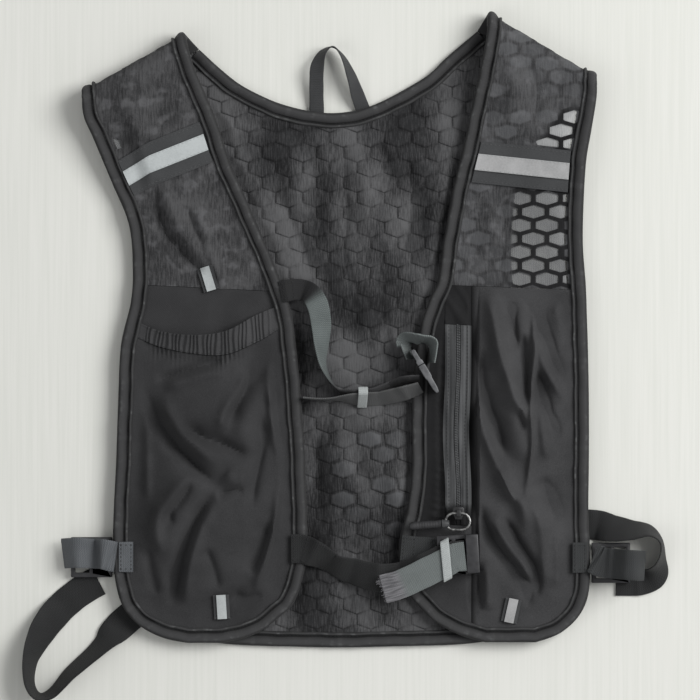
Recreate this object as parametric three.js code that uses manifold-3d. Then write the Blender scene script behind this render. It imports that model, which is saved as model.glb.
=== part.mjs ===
// A running hydration vest, lying flat with its front up.
// Millimetres, +X to the wearer's left as it lies, +Y to the collar, +Z up.
// The origin is the middle of the back panel's flat underside.

import * as THREE from "three";
import { mergeVertices } from "three/addons/utils/BufferGeometryUtils.js";
import Module from "manifold-3d";

const wasm = await Module();
wasm.setup();

// Driving sizes

const vestLength = 440; // shoulder fold to hem
const halfWidth = 180; // centre line to the widest point of a side
const clearance = 0.3; // between pieces that touch
const backWall = 3.2; // padded mesh of the back
const backEdgeWall = 2.2; // the same, pressed flat inside its binding
const frontWall = 2.4; // padded mesh of the fronts
const pocketWall = 1; // stretch cloth of the pockets
const foldRadius = 8.5; // shoulder fold, to the middle of the cloth
const foldFlap = 5; // stretch of front mesh lying behind the fold
const settleLength = 125; // over which a front comes down from its fold
const bindingWidth = 9; // visible width of the edge tape
const bindingWall = 1;
const tapeWall = 1;
const bandHeight = 29; // black tape across a shoulder
const stripeHeight = 11.5; // silver stripe on it
const tabWidth = 11;
const tabStripe = 6.5;
const tabLength = 17;
const drape = 0.45; // spare height of a cloth laid on a curved one
const meshPitch = 19; // from one cell to the next in a row
const meshRowPitch = 9.4; // from one row of cells to the next
const meshWeb = 3; // cord of mesh between two cells
const pocketPuff = 11; // how far the bottle pocket stands off its back
const mouthGape = 7; // how far its mouth stands open
const ribCount = 22; // gathers of the elastic band
const ribHeight = 0.8;
const zipPuff = 8; // how far the zip pocket stands off its back
const zipTapeWidth = 7.5;
const zipTeethWidth = 2.6;
const upperWebbing = 15;
const lowerWebbing = 20;
const sideWebbing = 21;
const webbingWall = 1.3;
const loopTape = 10;
const strapLift = 10; // unit for how far a strap arches up
const wire = 0.9; // radius of the zip pull's ring
const ringLength = 17;
const ringWidth = 11.5;
const gripLength = 28;
const gripRadius = 2.9;
const buckleBar = 3.2; // plastic bars of the strap frames
const frameWall = 3.4;
const lowerBuckleLength = 29;
const lowerLip = 9; // the lower chest buckle's wide end
const lipRise = 4.6; // how far it stands up past the straps
const sliderWidth = 8;
const sliderLength = 9;
const sliderHeight = 2.4;
const bridgeWidth = 3;
const bridgeWall = 1.1;

// Places, as shares: x of halfWidth, y of vestLength down from the highest point

const across = (share) => share * halfWidth;
const along = (share) => vestLength / 2 - share * vestLength;
const spot = (row) => new THREE.Vector2(across(row.x), along(row.y));

const leftFrontRows = [
  { innerX: -0.618, innerY: 0.035, outerX: -0.999, outerY: 0.123 },
  { innerX: -0.583, innerY: 0.088, outerX: -0.996, outerY: 0.159 },
  { innerX: -0.509, innerY: 0.159, outerX: -0.953, outerY: 0.202 },
  { innerX: -0.443, innerY: 0.239, outerX: -0.885, outerY: 0.269 },
  { innerX: -0.35, innerY: 0.326, outerX: -0.822, outerY: 0.333 },
  { innerX: -0.268, innerY: 0.406, outerX: -0.807, outerY: 0.398 },
  { innerX: -0.214, innerY: 0.466, outerX: -0.813, outerY: 0.455 },
  { innerX: -0.191, innerY: 0.525, outerX: -0.852, outerY: 0.525 },
  { innerX: -0.171, innerY: 0.613, outerX: -0.863, outerY: 0.613 },
  { innerX: -0.156, innerY: 0.708, outerX: -0.871, outerY: 0.708 },
  { innerX: -0.148, innerY: 0.819, outerX: -0.883, outerY: 0.819 },
  { innerX: -0.152, innerY: 0.87, outerX: -0.879, outerY: 0.883 },
  { innerX: -0.194, innerY: 0.929, outerX: -0.856, outerY: 0.929 },
  { innerX: -0.249, innerY: 0.953, outerX: -0.813, outerY: 0.957 },
  { innerX: -0.315, innerY: 0.974, outerX: -0.751, outerY: 0.976 },
  { innerX: -0.381, innerY: 0.986, outerX: -0.681, outerY: 0.988 },
  { innerX: -0.463, innerY: 0.994, outerX: -0.603, outerY: 0.994 },
];

const rightFrontRows = [
  { innerX: 0.568, innerY: 0.002, outerX: 0.972, outerY: 0.1 },
  { innerX: 0.56, innerY: 0.048, outerX: 0.972, outerY: 0.132 },
  { innerX: 0.521, innerY: 0.123, outerX: 0.953, outerY: 0.183 },
  { innerX: 0.482, innerY: 0.199, outerX: 0.933, outerY: 0.234 },
  { innerX: 0.436, innerY: 0.278, outerX: 0.924, outerY: 0.302 },
  { innerX: 0.401, innerY: 0.355, outerX: 0.922, outerY: 0.366 },
  { innerX: 0.377, innerY: 0.422, outerX: 0.933, outerY: 0.43 },
  { innerX: 0.338, innerY: 0.461, outerX: 0.937, outerY: 0.477 },
  { innerX: 0.299, innerY: 0.517, outerX: 0.941, outerY: 0.525 },
  { innerX: 0.276, innerY: 0.613, outerX: 0.945, outerY: 0.613 },
  { innerX: 0.276, innerY: 0.708, outerX: 0.945, outerY: 0.708 },
  { innerX: 0.261, innerY: 0.78, outerX: 0.943, outerY: 0.788 },
  { innerX: 0.226, innerY: 0.843, outerX: 0.949, outerY: 0.851 },
  { innerX: 0.249, innerY: 0.907, outerX: 0.947, outerY: 0.907 },
  { innerX: 0.312, innerY: 0.942, outerX: 0.929, outerY: 0.938 },
  { innerX: 0.377, innerY: 0.965, outerX: 0.887, outerY: 0.963 },
  { innerX: 0.463, innerY: 0.983, outerX: 0.824, outerY: 0.982 },
  { innerX: 0.552, innerY: 0.993, outerX: 0.747, outerY: 0.993 },
];

const neckRows = [
  { x: -0.482, y: 0.089 },
  { x: -0.408, y: 0.113 },
  { x: -0.327, y: 0.131 },
  { x: -0.245, y: 0.145 },
  { x: -0.14, y: 0.156 },
  { x: -0.039, y: 0.16 },
  { x: 0.06, y: 0.155 },
  { x: 0.15, y: 0.142 },
  { x: 0.261, y: 0.118 },
  { x: 0.345, y: 0.096 },
  { x: 0.41, y: 0.07 },
];

const hemRows = [
  { x: -0.745, y: 0.952 },
  { x: -0.66, y: 0.978 },
  { x: -0.463, y: 0.996 },
  { x: -0.167, y: 1.001 },
  { x: 0.008, y: 1.002 },
  { x: 0.222, y: 1 },
  { x: 0.486, y: 0.996 },
  { x: 0.7, y: 0.98 },
  { x: 0.83, y: 0.952 },
];

const backLeftRows = [
  { x: -0.859, y: 0.191 },
  { x: -0.813, y: 0.247 },
  { x: -0.778, y: 0.31 },
  { x: -0.758, y: 0.39 },
  { x: -0.765, y: 0.47 },
  { x: -0.797, y: 0.549 },
  { x: -0.821, y: 0.644 },
  { x: -0.828, y: 0.772 },
  { x: -0.821, y: 0.867 },
  { x: -0.795, y: 0.922 },
];

const backRightRows = [
  { x: 0.766, y: 0.18 },
  { x: 0.704, y: 0.223 },
  { x: 0.653, y: 0.278 },
  { x: 0.634, y: 0.374 },
  { x: 0.652, y: 0.453 },
  { x: 0.727, y: 0.533 },
  { x: 0.824, y: 0.613 },
  { x: 0.883, y: 0.708 },
  { x: 0.9, y: 0.819 },
  { x: 0.88, y: 0.918 },
];

// Materials

const cloth = (color, roughness = 0.95) => new THREE.MeshStandardMaterial({ color, roughness, metalness: 0 });
const meshCloth = cloth(0x303032);
const bindingCloth = cloth(0x3b3a39);
const pocketCloth = cloth(0x29292b);
const webbingCloth = cloth(0x555a5a, 0.85);
const darkWebbing = cloth(0x303131, 0.85);
const silverCloth = cloth(0xbfc3c3, 0.5);
const elasticCloth = cloth(0xd0d2cf, 0.8);
const plastic = cloth(0x2a2a2b, 0.4);
const zipPlastic = cloth(0x1c1c1d, 0.5);
const wireMetal = new THREE.MeshStandardMaterial({ color: 0x4a4a4a, roughness: 0.35, metalness: 0.9 });

// Small helpers

const vest = new THREE.Group();
const lerp = THREE.MathUtils.lerp;
const smooth = (t) => THREE.MathUtils.smoothstep(t, 0, 1);
const radians = THREE.MathUtils.degToRad;
const steps = (count) => Array.from({ length: count + 1 }, (_, i) => i / count);
const layerRise = bindingWall + clearance; // one thickness of binding under or over a wall

function addPiece(name, geometry, material, parent = vest) {
  const mesh = new THREE.Mesh(geometry, material);
  mesh.name = name;
  parent.add(mesh);
  return mesh;
}

function solidVolume(points, index) {
  let volume = 0;
  for (let i = 0; i < index.length; i += 3) {
    const [a, b, c] = [points[index[i]], points[index[i + 1]], points[index[i + 2]]];
    volume += a.dot(b.clone().cross(c)) / 6;
  }
  return volume;
}

// Makes a geometry from points and triangles, with its faces turned outwards
function solid(points, index) {
  const turned = solidVolume(points, index) < 0;
  const order = turned ? index.map((_, i) => index[i - (i % 3) + (2 - (i % 3))]) : index;
  const geometry = new THREE.BufferGeometry();
  geometry.setAttribute("position", new THREE.Float32BufferAttribute(points.flatMap((p) => [p.x, p.y, p.z]), 3));
  geometry.setIndex(order);
  return geometry;
}

// Closes two matching grids of points, one above the other, into a sheet with a real wall
function closedSheet(lower, upper) {
  const rows = lower.length;
  const columns = lower[0].length;
  const points = [...lower.flat(), ...upper.flat()];
  const under = (r, c) => r * columns + c;
  const over = (r, c) => rows * columns + r * columns + c;
  const index = [];
  const quad = (a, b, c, d) => index.push(a, b, c, a, c, d);
  for (let r = 0; r < rows - 1; r += 1) {
    for (let c = 0; c < columns - 1; c += 1) {
      quad(over(r, c), over(r, c + 1), over(r + 1, c + 1), over(r + 1, c));
      quad(under(r, c), under(r + 1, c), under(r + 1, c + 1), under(r, c + 1));
    }
    quad(under(r, 0), over(r, 0), over(r + 1, 0), under(r + 1, 0));
    quad(under(r, columns - 1), under(r + 1, columns - 1), over(r + 1, columns - 1), over(r, columns - 1));
  }
  for (let c = 0; c < columns - 1; c += 1) {
    quad(under(0, c), under(0, c + 1), over(0, c + 1), over(0, c));
    quad(under(rows - 1, c), over(rows - 1, c), over(rows - 1, c + 1), under(rows - 1, c + 1));
  }
  return solid(points, index);
}

// The unit normal of a grid of points at one of them
function gridNormal(grid, r, c) {
  const rowBefore = grid[Math.max(r - 1, 0)][c];
  const rowAfter = grid[Math.min(r + 1, grid.length - 1)][c];
  const columnBefore = grid[r][Math.max(c - 1, 0)];
  const columnAfter = grid[r][Math.min(c + 1, grid[0].length - 1)];
  const down = rowAfter.clone().sub(rowBefore);
  return columnAfter.clone().sub(columnBefore).cross(down).normalize();
}

// Gives a grid of points a wall, half on each side of it
function walledSheet(grid, wall) {
  const side = (offset) =>
    grid.map((row, r) => row.map((p, c) => p.clone().addScaledVector(gridNormal(grid, r, c), offset)));
  return closedSheet(side(-wall / 2), side(wall / 2));
}

// A closed section carried along stations, each with a point, an outward and an upward direction
const squarePoint = (station, [out, up]) =>
  station.point.clone().addScaledVector(station.out, out).addScaledVector(station.up, up);

function sweep(stations, section, closed = false, pointOf = squarePoint) {
  const rings = stations.map((station) => section(station).map((corner) => pointOf(station, corner)));
  const size = rings[0].length;
  const index = [];
  const last = closed ? rings.length : rings.length - 1;
  for (let r = 0; r < last; r += 1) {
    const next = (r + 1) % rings.length;
    for (let i = 0; i < size; i += 1) {
      const j = (i + 1) % size;
      index.push(r * size + i, r * size + j, next * size + j);
      index.push(r * size + i, next * size + j, next * size + i);
    }
  }
  if (!closed) {
    const outline = section(stations[0]).map(([out, up]) => new THREE.Vector2(out, up));
    const start = (rings.length - 1) * size;
    for (const [a, b, c] of THREE.ShapeUtils.triangulateShape(outline, [])) {
      index.push(c, b, a);
      index.push(start + a, start + b, start + c);
    }
  }
  return solid(rings.flat(), index);
}

// Merges what touches, drops triangles without area, and turns the faces outwards
function cleaned(geometry) {
  const bare = geometry.clone();
  bare.deleteAttribute("normal");
  bare.deleteAttribute("uv");
  const merged = mergeVertices(bare, 1e-4);
  const place = merged.attributes.position;
  const points = Array.from({ length: place.count }, (_, i) => new THREE.Vector3().fromBufferAttribute(place, i));
  const index = [];
  for (let i = 0; i < merged.index.count; i += 3) {
    const corners = [0, 1, 2].map((j) => merged.index.getX(i + j));
    if (new Set(corners).size === 3) {
      index.push(...corners);
    }
  }
  return solid(points, index);
}

function asManifold(geometry) {
  const merged = cleaned(geometry);
  const mesh = new wasm.Mesh({
    numProp: 3,
    vertProperties: new Float32Array(merged.attributes.position.array),
    triVerts: new Uint32Array(merged.index.array),
  });
  return new wasm.Manifold(mesh);
}

function asGeometry(manifold) {
  const mesh = manifold.getMesh();
  const geometry = new THREE.BufferGeometry();
  geometry.setAttribute("position", new THREE.BufferAttribute(new Float32Array(mesh.vertProperties), 3));
  geometry.setIndex(new THREE.BufferAttribute(new Uint32Array(mesh.triVerts), 1));
  return geometry;
}

// How far a place lies inside a closed outline, and negative outside it
function depthInside(outline, place) {
  let nearest = Infinity;
  let inside = false;
  for (let i = 0; i < outline.length; i += 1) {
    const a = outline[i];
    const b = outline[(i + 1) % outline.length];
    const edge = b.clone().sub(a);
    const t = THREE.MathUtils.clamp(place.clone().sub(a).dot(edge) / Math.max(edge.lengthSq(), 1e-9), 0, 1);
    nearest = Math.min(nearest, place.distanceTo(a.clone().addScaledVector(edge, t)));
    if (a.y > place.y !== b.y > place.y && place.x < a.x + ((place.y - a.y) / (b.y - a.y)) * (b.x - a.x)) {
      inside = !inside;
    }
  }
  return inside ? nearest : -nearest;
}

// Heights of the layers

const backEdgeMiddle = layerRise + backEdgeWall / 2;
const bindingCrown = bindingWall * 1.4; // a binding's puffed upper lip
const backBindingTop = layerRise + backEdgeWall + clearance + bindingCrown;
const flapMiddle = bindingCrown + clearance + frontWall / 2;
const foldTop = flapMiddle + 2 * foldRadius;
const frontRest = backBindingTop + clearance + layerRise + frontWall / 2;

// A front: its plan from the table, its height above the surface, and its fold

function makeFront(rows, splitRow, neckLean, sideLean) {
  const inner = new THREE.SplineCurve(rows.map((row) => new THREE.Vector2(across(row.innerX), along(row.innerY))));
  const outer = new THREE.SplineCurve(rows.map((row) => new THREE.Vector2(across(row.outerX), along(row.outerY))));
  const plan = (u, v) => inner.getPoint(v).lerp(outer.getPoint(v), u);
  const outline = [...steps(60).map((v) => plan(0, v)), ...steps(60).map((v) => plan(1, 1 - v))];
  const [foldInner, foldOuter] = [plan(0, 0), plan(1, 0)];
  const foldSlope = (foldOuter.y - foldInner.y) / (foldOuter.x - foldInner.x);
  const foldV = foldRadius / plan(0.5, 1 / (rows.length - 1)).distanceTo(plan(0.5, 0)) / (rows.length - 1);
  const splitV = splitRow / (rows.length - 1);
  const depth = (place) => depthInside(outline, place);
  const height = (place) => {
    const drop = foldInner.y + (place.x - foldInner.x) * foldSlope - place.y;
    return lerp(frontRest, foldTop, smooth(1 - (drop - foldRadius * 1.3) / settleLength));
  };
  const middle = (u, v) => {
    const place = plan(u, v);
    return new THREE.Vector3(place.x, place.y, height(place));
  };
  // Directions in which the flap behind the fold runs, at the neck and at the side
  const flapWay = (u) => new THREE.Vector2(lerp(neckLean, sideLean, u), -1).normalize();
  const seamSpot = (u, reach) => plan(u, 0).addScaledVector(flapWay(u), foldRadius + foldFlap + reach);
  // Columns of one row: both lips of the bindings, and even steps between them
  const columnsAt = (v, count) => {
    const end = bindingWidth / plan(0, v).distanceTo(plan(1, v));
    return [0, ...steps(count).map((t) => lerp(end, 1 - end, t)), 1];
  };
  const foldRow = (columns, angle) =>
    columns.map((u) => {
      const reach = 1 - Math.cos(radians(angle));
      const place =
        angle < 0 ? plan(u, 0).addScaledVector(flapWay(u), foldRadius * reach) : plan(u, 0).lerp(plan(u, foldV), reach);
      const rise = flapMiddle + foldRadius * (1 + Math.sin(radians(angle)));
      return new THREE.Vector3(place.x, place.y, rise);
    });
  const flapRow = (columns) =>
    columns.map((u) => {
      const place = seamSpot(u, 0);
      return new THREE.Vector3(place.x, place.y, flapMiddle);
    });
  // v of the place on one column that lies at a height of the photo's frame
  const rowAt = (u, y) => {
    let [low, high] = [0, 1];
    for (let i = 0; i < 24; i += 1) {
      const half = (low + high) / 2;
      if (plan(u, half).y > y) {
        low = half;
      } else {
        high = half;
      }
    }
    return (low + high) / 2;
  };
  return { plan, outline, depth, height, middle, columnsAt, foldRow, flapRow, seamSpot, rowAt, foldV, splitV };
}

const leftFront = makeFront(leftFrontRows, 5.55, 0.95, 0.9);
const rightFront = makeFront(rightFrontRows, 6.15, -0.6, -1.1);

const shoulderColumns = 5; // between the lips
const lowerColumns = 4;

// Rows of a front's shoulder, from the flap over the fold and down to the pockets
function shoulderGrid(front) {
  const foldColumns = front.columnsAt(front.foldV, shoulderColumns);
  const fold = [-90, -45, 0, 45].map((angle) => front.foldRow(foldColumns, angle));
  const down = steps(8).map((t) => {
    const v = lerp(front.foldV, front.splitV, t);
    return front.columnsAt(v, shoulderColumns).map((u) => front.middle(u, v));
  });
  return [front.flapRow(foldColumns), ...fold, ...down];
}

function pocketBackGrid(front) {
  const start = front.splitV + clearance / vestLength;
  const columns = steps(lowerColumns);
  return steps(11).map((t) => columns.map((u) => front.middle(u, lerp(start, 1, t))));
}

// Back panel: four edges, and a plan filled in between them

const leftSeam = (t) => leftFront.seamSpot(1 - t, clearance);
const rightSeam = (t) => rightFront.seamSpot(t, clearance);
const neckCurve = new THREE.SplineCurve([leftSeam(1), ...neckRows.map(spot), rightSeam(0)]);
const hemCurve = new THREE.SplineCurve(hemRows.map(spot));
const backLeftCurve = new THREE.SplineCurve([leftSeam(0), ...backLeftRows.map(spot), spot(hemRows[0])]);
const backRightCurve = new THREE.SplineCurve([rightSeam(1), ...backRightRows.map(spot), spot(hemRows.at(-1))]);
const seamShare = 0.18; // of the top edge, at each shoulder

function backTop(u) {
  if (u <= seamShare) {
    return leftSeam(u / seamShare);
  }
  if (u >= 1 - seamShare) {
    return rightSeam((u - 1 + seamShare) / seamShare);
  }
  return neckCurve.getPoint((u - seamShare) / (1 - 2 * seamShare));
}

function backPlan(u, v) {
  const blend = backTop(u).multiplyScalar(1 - v).addScaledVector(hemCurve.getPoint(u), v);
  blend.addScaledVector(backLeftCurve.getPoint(v), 1 - u).addScaledVector(backRightCurve.getPoint(v), u);
  blend.addScaledVector(backTop(0), -(1 - u) * (1 - v)).addScaledVector(backTop(1), -u * (1 - v));
  return blend.addScaledVector(hemCurve.getPoint(0), -(1 - u) * v).addScaledVector(hemCurve.getPoint(1), -u * v);
}

const backOutline = [
  ...steps(60).map((u) => backTop(u)),
  ...steps(40).map((v) => backRightCurve.getPoint(v)),
  ...steps(40).map((u) => hemCurve.getPoint(1 - u)),
  ...steps(40).map((v) => backLeftCurve.getPoint(1 - v)),
];

const lipInside = bindingWidth + 2 * clearance;
const rampStart = lipInside + 8; // where the back starts to come down to the surface
const rampEnd = rampStart + 8;

// Shares of an edge, close together near each end, where a binding presses the back flat
const edgedSteps = (count, length) => {
  const end = (lipInside + 7) / length;
  return [0, ...steps(count).map((t) => lerp(end, 1 - end, t)), 1];
};

const creaseX = across(-0.016);
const creaseDepth = 1; // of the valley down the middle of the back
const creaseHalf = 9;

const neckSteps = 10;
const backColumns = [
  0,
  lipInside / (1.7 * halfWidth),
  seamShare / 2,
  ...steps(neckSteps).map((t) => lerp(seamShare, 1 - seamShare, t)),
  1 - seamShare / 2,
  1 - lipInside / (1.7 * halfWidth),
  1,
];
const backRows = edgedSteps(9, 0.86 * vestLength);

function backPanel() {
  const lower = [];
  const upper = [];
  for (const v of backRows) {
    const places = backColumns.map((u) => backPlan(u, v));
    const edged = (place) => 1 - smooth((depthInside(backOutline, place) - rampStart) / (rampEnd - rampStart));
    lower.push(places.map((p) => new THREE.Vector3(p.x, p.y, edged(p) * layerRise)));
    upper.push(
      places.map((p) => {
        const crease = creaseDepth * Math.exp(-(((p.x - creaseX) / creaseHalf) ** 2));
        return new THREE.Vector3(p.x, p.y, lerp(backWall - crease, layerRise + backEdgeWall, edged(p)));
      })
    );
  }
  return closedSheet(lower, upper);
}

addPiece("back_panel", backPanel(), meshCloth);

// Bindings: a folded tape whose channel takes the edge of a wall

const bindingSection = (station) => {
  const below = station.half + clearance;
  const above = station.half + clearance + (station.extra ?? 0);
  const end = 2 * clearance;
  const nose = end + bindingWall;
  return [
    [-bindingWidth, -below - bindingWall],
    [nose * 0.6, -below - bindingWall],
    [nose, above + bindingWall * 0.3],
    [-bindingWidth * 0.5, above + bindingCrown],
    [-bindingWidth, above + bindingWall * 0.8],
    [-bindingWidth, above],
    [end, above],
    [end, -below],
    [-bindingWidth, -below],
  ];
};

// A section point of a binding: its inner part follows the cloth from its edge to the lip
function bindingPoint(station, [out, up]) {
  const share = Math.max(-out / bindingWidth, 0);
  const upward = station.up.clone().lerp(station.lipUp, share).normalize();
  const place = station.point.clone().addScaledVector(upward, up);
  return out < 0 ? place.addScaledVector(station.lip, share) : place.addScaledVector(station.out, out);
}

// Stations along an edge; lips and their upward directions are given, or else square to the edge
function edgeStations(points, ups, inwards, half, extra = () => 0, lips = [], lipUps = []) {
  return points.map((point, i) => {
    const tangent = points[Math.min(i + 1, points.length - 1)].clone().sub(points[Math.max(i - 1, 0)]).normalize();
    const out = tangent.clone().cross(ups[i]).normalize();
    if (out.dot(inwards[i]) > 0) {
      out.negate();
    }
    const up = ups[i].clone().addScaledVector(tangent, -ups[i].dot(tangent)).normalize();
    const lip = lips[i] ?? out.clone().multiplyScalar(-bindingWidth);
    return { point, out, up, half, extra: extra(point), lip, lipUp: lipUps[i] ?? up };
  });
}

function flatStations(places, centre) {
  const points = places.map((p) => new THREE.Vector3(p.x, p.y, backEdgeMiddle));
  const ups = points.map(() => new THREE.Vector3(0, 0, 1));
  const inwards = points.map((p) => centre.clone().sub(p));
  return edgeStations(points, ups, inwards, backEdgeWall / 2);
}

const backCentre = new THREE.Vector3(0, 0, backEdgeMiddle);
const seamGap = 0.02; // of an edge curve, left open where the front's binding meets the back's
const neckPlaces = steps(neckSteps).map((t) => neckCurve.getPoint(t));
neckPlaces[0] = neckCurve.getPoint(seamGap);
neckPlaces[neckSteps] = neckCurve.getPoint(1 - seamGap);
addPiece("neck_binding", sweep(flatStations(neckPlaces, backCentre), bindingSection, false, bindingPoint), bindingCloth);

const innerRows = backRows.slice(1, -1);
const backPlaces = [
  backLeftCurve.getPoint(seamGap),
  ...innerRows.map((v) => backLeftCurve.getPoint(v)),
  ...backColumns.map((u) => hemCurve.getPoint(u)),
  ...innerRows.map((v) => backRightCurve.getPoint(v)).reverse(),
  backRightCurve.getPoint(seamGap),
];
addPiece("back_binding", sweep(flatStations(backPlaces, backCentre), bindingSection, false, bindingPoint), bindingCloth);

// Pockets: how far their cloth stands off the front behind it

// Depth of a fold that runs from one place to another, in shares of its own depth
function foldRelief(place, folds, depth) {
  let relief = 0;
  for (const fold of folds) {
    const a = spot({ x: fold.fromX, y: fold.fromY });
    const edge = spot({ x: fold.toX, y: fold.toY }).sub(a);
    const t = place.clone().sub(a).dot(edge) / edge.lengthSq();
    const nearest = a.addScaledVector(edge, THREE.MathUtils.clamp(t, 0, 1));
    relief += fold.share * depth * Math.exp(-((place.distanceTo(nearest) / (fold.width * halfWidth)) ** 2));
  }
  return relief;
}

const leftFolds = [
  { fromX: -0.78, fromY: 0.6, toX: -0.66, toY: 0.68, width: 0.035, share: -1 },
  { fromX: -0.66, fromY: 0.68, toX: -0.49, toY: 0.745, width: 0.035, share: -0.8 },
  { fromX: -0.61, fromY: 0.655, toX: -0.36, toY: 0.7, width: 0.03, share: -0.8 },
  { fromX: -0.31, fromY: 0.53, toX: -0.45, toY: 0.655, width: 0.04, share: -1 },
  { fromX: -0.52, fromY: 0.77, toX: -0.65, toY: 0.89, width: 0.035, share: -1 },
  { fromX: -0.65, fromY: 0.89, toX: -0.66, toY: 0.95, width: 0.03, share: -0.7 },
  { fromX: -0.28, fromY: 0.58, toX: -0.23, toY: 0.74, width: 0.04, share: 1 },
  { fromX: -0.23, fromY: 0.74, toX: -0.33, toY: 0.92, width: 0.04, share: 0.8 },
];
const foldDepth = 3.5; // of the deepest folds of a pocket

const rightFolds = [
  { fromX: 0.572, fromY: 0.453, toX: 0.599, toY: 0.541, width: 0.035, share: 1 },
  { fromX: 0.599, fromY: 0.541, toX: 0.649, toY: 0.613, width: 0.035, share: 1 },
  { fromX: 0.649, fromY: 0.613, toX: 0.696, toY: 0.692, width: 0.04, share: 1 },
  { fromX: 0.575, fromY: 0.605, toX: 0.62, toY: 0.7, width: 0.03, share: -0.6 },
  { fromX: 0.747, fromY: 0.453, toX: 0.786, toY: 0.613, width: 0.035, share: -0.7 },
  { fromX: 0.844, fromY: 0.453, toX: 0.863, toY: 0.644, width: 0.03, share: -0.6 },
  { fromX: 0.66, fromY: 0.76, toX: 0.68, toY: 0.88, width: 0.035, share: -0.5 },
];

const mouthRows = [
  { u: 0, top: 0.461, bottom: 0.492 },
  { u: 0.14, top: 0.477, bottom: 0.519 },
  { u: 0.33, top: 0.503, bottom: 0.54 },
  { u: 0.55, top: 0.509, bottom: 0.538 },
  { u: 0.75, top: 0.503, bottom: 0.527 },
  { u: 1, top: 0.485, bottom: 0.508 },
];
const mouthCurve = (key) => new THREE.SplineCurve(mouthRows.map((row) => new THREE.Vector2(row.u, row[key])));
const mouthTop = mouthCurve("top");
const mouthBottom = mouthCurve("bottom");
const mouthShare = (curve, u) => curve.getPoint(u).y;

const hemRamp = 34; // over which a pocket rises from its binding
const edgeRise = (front, place) => smooth((front.depth(place) - bindingWidth - 2 * clearance) / hemRamp);

function leftPuff(place) {
  const down = (vestLength / 2 - place.y) / vestLength;
  const gape = mouthGape * Math.exp(-(((down - 0.5) / 0.075) ** 2));
  const belly = pocketPuff * smooth((down - 0.46) / 0.2) * lerp(1, 0.55, smooth((down - 0.75) / 0.25));
  const rise = Math.max(gape, belly) + foldRelief(place, leftFolds, foldDepth);
  return edgeRise(leftFront, place) * Math.max(rise, 0);
}

// Height of the middle of a cloth laid over a front, with a layer's clearance and its own puff
function overFront(front, place, wall, puff = 0, under = 0) {
  return front.height(place) + frontWall / 2 + under + clearance + wall / 2 + puff;
}

const edgeInset = 1.2; // a pocket's cloth ends this far inside its front's edge, in the binding
const footV = 0.988; // of a front, where the pocket's cloth ends at its foot

// A place on a front, just inside its edges
function insetPlan(front, u, v) {
  const end = edgeInset / front.plan(0, v).distanceTo(front.plan(1, v));
  return front.plan(lerp(end, 1 - end, u), v);
}

function pocketGrid(front, columns, startV, endV, rowCount, puff) {
  return steps(rowCount).map((t) =>
    columns.map((u) => {
      const place = insetPlan(front, u, lerp(startV(u), endV(u), t));
      return new THREE.Vector3(place.x, place.y, overFront(front, place, pocketWall, puff(place)));
    })
  );
}

// Lifts a grid's points and gives them a wall straight up and down
function uprightSheet(grid, wall) {
  const side = (offset) => grid.map((row) => row.map((p) => new THREE.Vector3(p.x, p.y, p.z + offset)));
  return closedSheet(side(-wall / 2), side(wall / 2));
}

// Reflective bands, given by the two ends of their middle line

const leftBand = { innerX: -0.546, innerY: 0.206, outerX: -0.848, outerY: 0.255 };
const rightBand = { innerX: 0.525, innerY: 0.235, outerX: 0.87, outerY: 0.25 };

const outlineSection = (outline) => new wasm.CrossSection([outline.map((p) => [p.x, p.y])], "NonZero");

// Where a front's cells may be cut: inside its bindings, off the back panel and off the bands
function openZone(front, band) {
  const keepOff = bindingWall + 2 * clearance + meshWeb / 2;
  const inner = outlineSection(front.outline).offset(-bindingWidth - meshWeb / 2, "Round");
  const a = spot({ x: band.innerX, y: band.innerY });
  const b = spot({ x: band.outerX, y: band.outerY });
  const run = b.clone().sub(a).normalize();
  const half = new THREE.Vector2(-run.y, run.x).multiplyScalar(bandHeight / 2 + meshWeb / 2);
  const [start, end] = [a.addScaledVector(run, -meshPitch), b.addScaledVector(run, meshPitch)];
  const bandCorners = [start.clone().add(half), end.clone().add(half), end.clone().sub(half), start.clone().sub(half)];
  const splitY = front.plan(1, front.splitV).y + meshWeb;
  const below = [[-1, -1], [1, -1], [1, 1], [-1, 1]].map(
    ([i, j]) => new THREE.Vector2(i * vestLength, splitY + ((j - 1) / 2) * vestLength)
  );
  return inner
    .subtract(outlineSection(backOutline.slice().reverse()).offset(keepOff, "Round"))
    .subtract(outlineSection(backOutline).offset(keepOff, "Round"))
    .subtract(outlineSection(bandCorners).add(outlineSection(bandCorners.slice().reverse())))
    .subtract(outlineSection(below));
}

// Six-sided cells, wide and low, in staggered rows, cut where only the front lies over the surface
function openMesh(front, band, sheet) {
  const cellWidth = meshPitch - meshWeb;
  const cellHeight = (meshRowPitch * 4) / 3 - meshWeb;
  const reach = Math.ceil((2 * halfWidth) / meshPitch);
  const cells = [];
  for (let row = 0; row * meshRowPitch < vestLength * 0.45; row += 1) {
    for (let column = -reach; column <= reach; column += 1) {
      const x = (column + (row % 2) / 2) * meshPitch;
      const y = along(0.1) - row * meshRowPitch;
      cells.push(
        steps(6).slice(0, 6).map((t) => {
          const angle = 2 * Math.PI * t + Math.PI / 2;
          return [x + (Math.cos(angle) * cellWidth) / Math.sqrt(3), y + (Math.sin(angle) * cellHeight) / 2];
        })
      );
    }
  }
  const grain = meshWeb / 2; // parts of cells narrower than this stay closed
  const open = new wasm.CrossSection(cells, "NonZero").intersect(openZone(front, band));
  const cut = open.offset(-grain / 2, "Miter").offset(grain / 2, "Miter").simplify(0.4);
  return asGeometry(asManifold(sheet).subtract(cut.extrude(foldTop * 2)));
}

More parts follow.
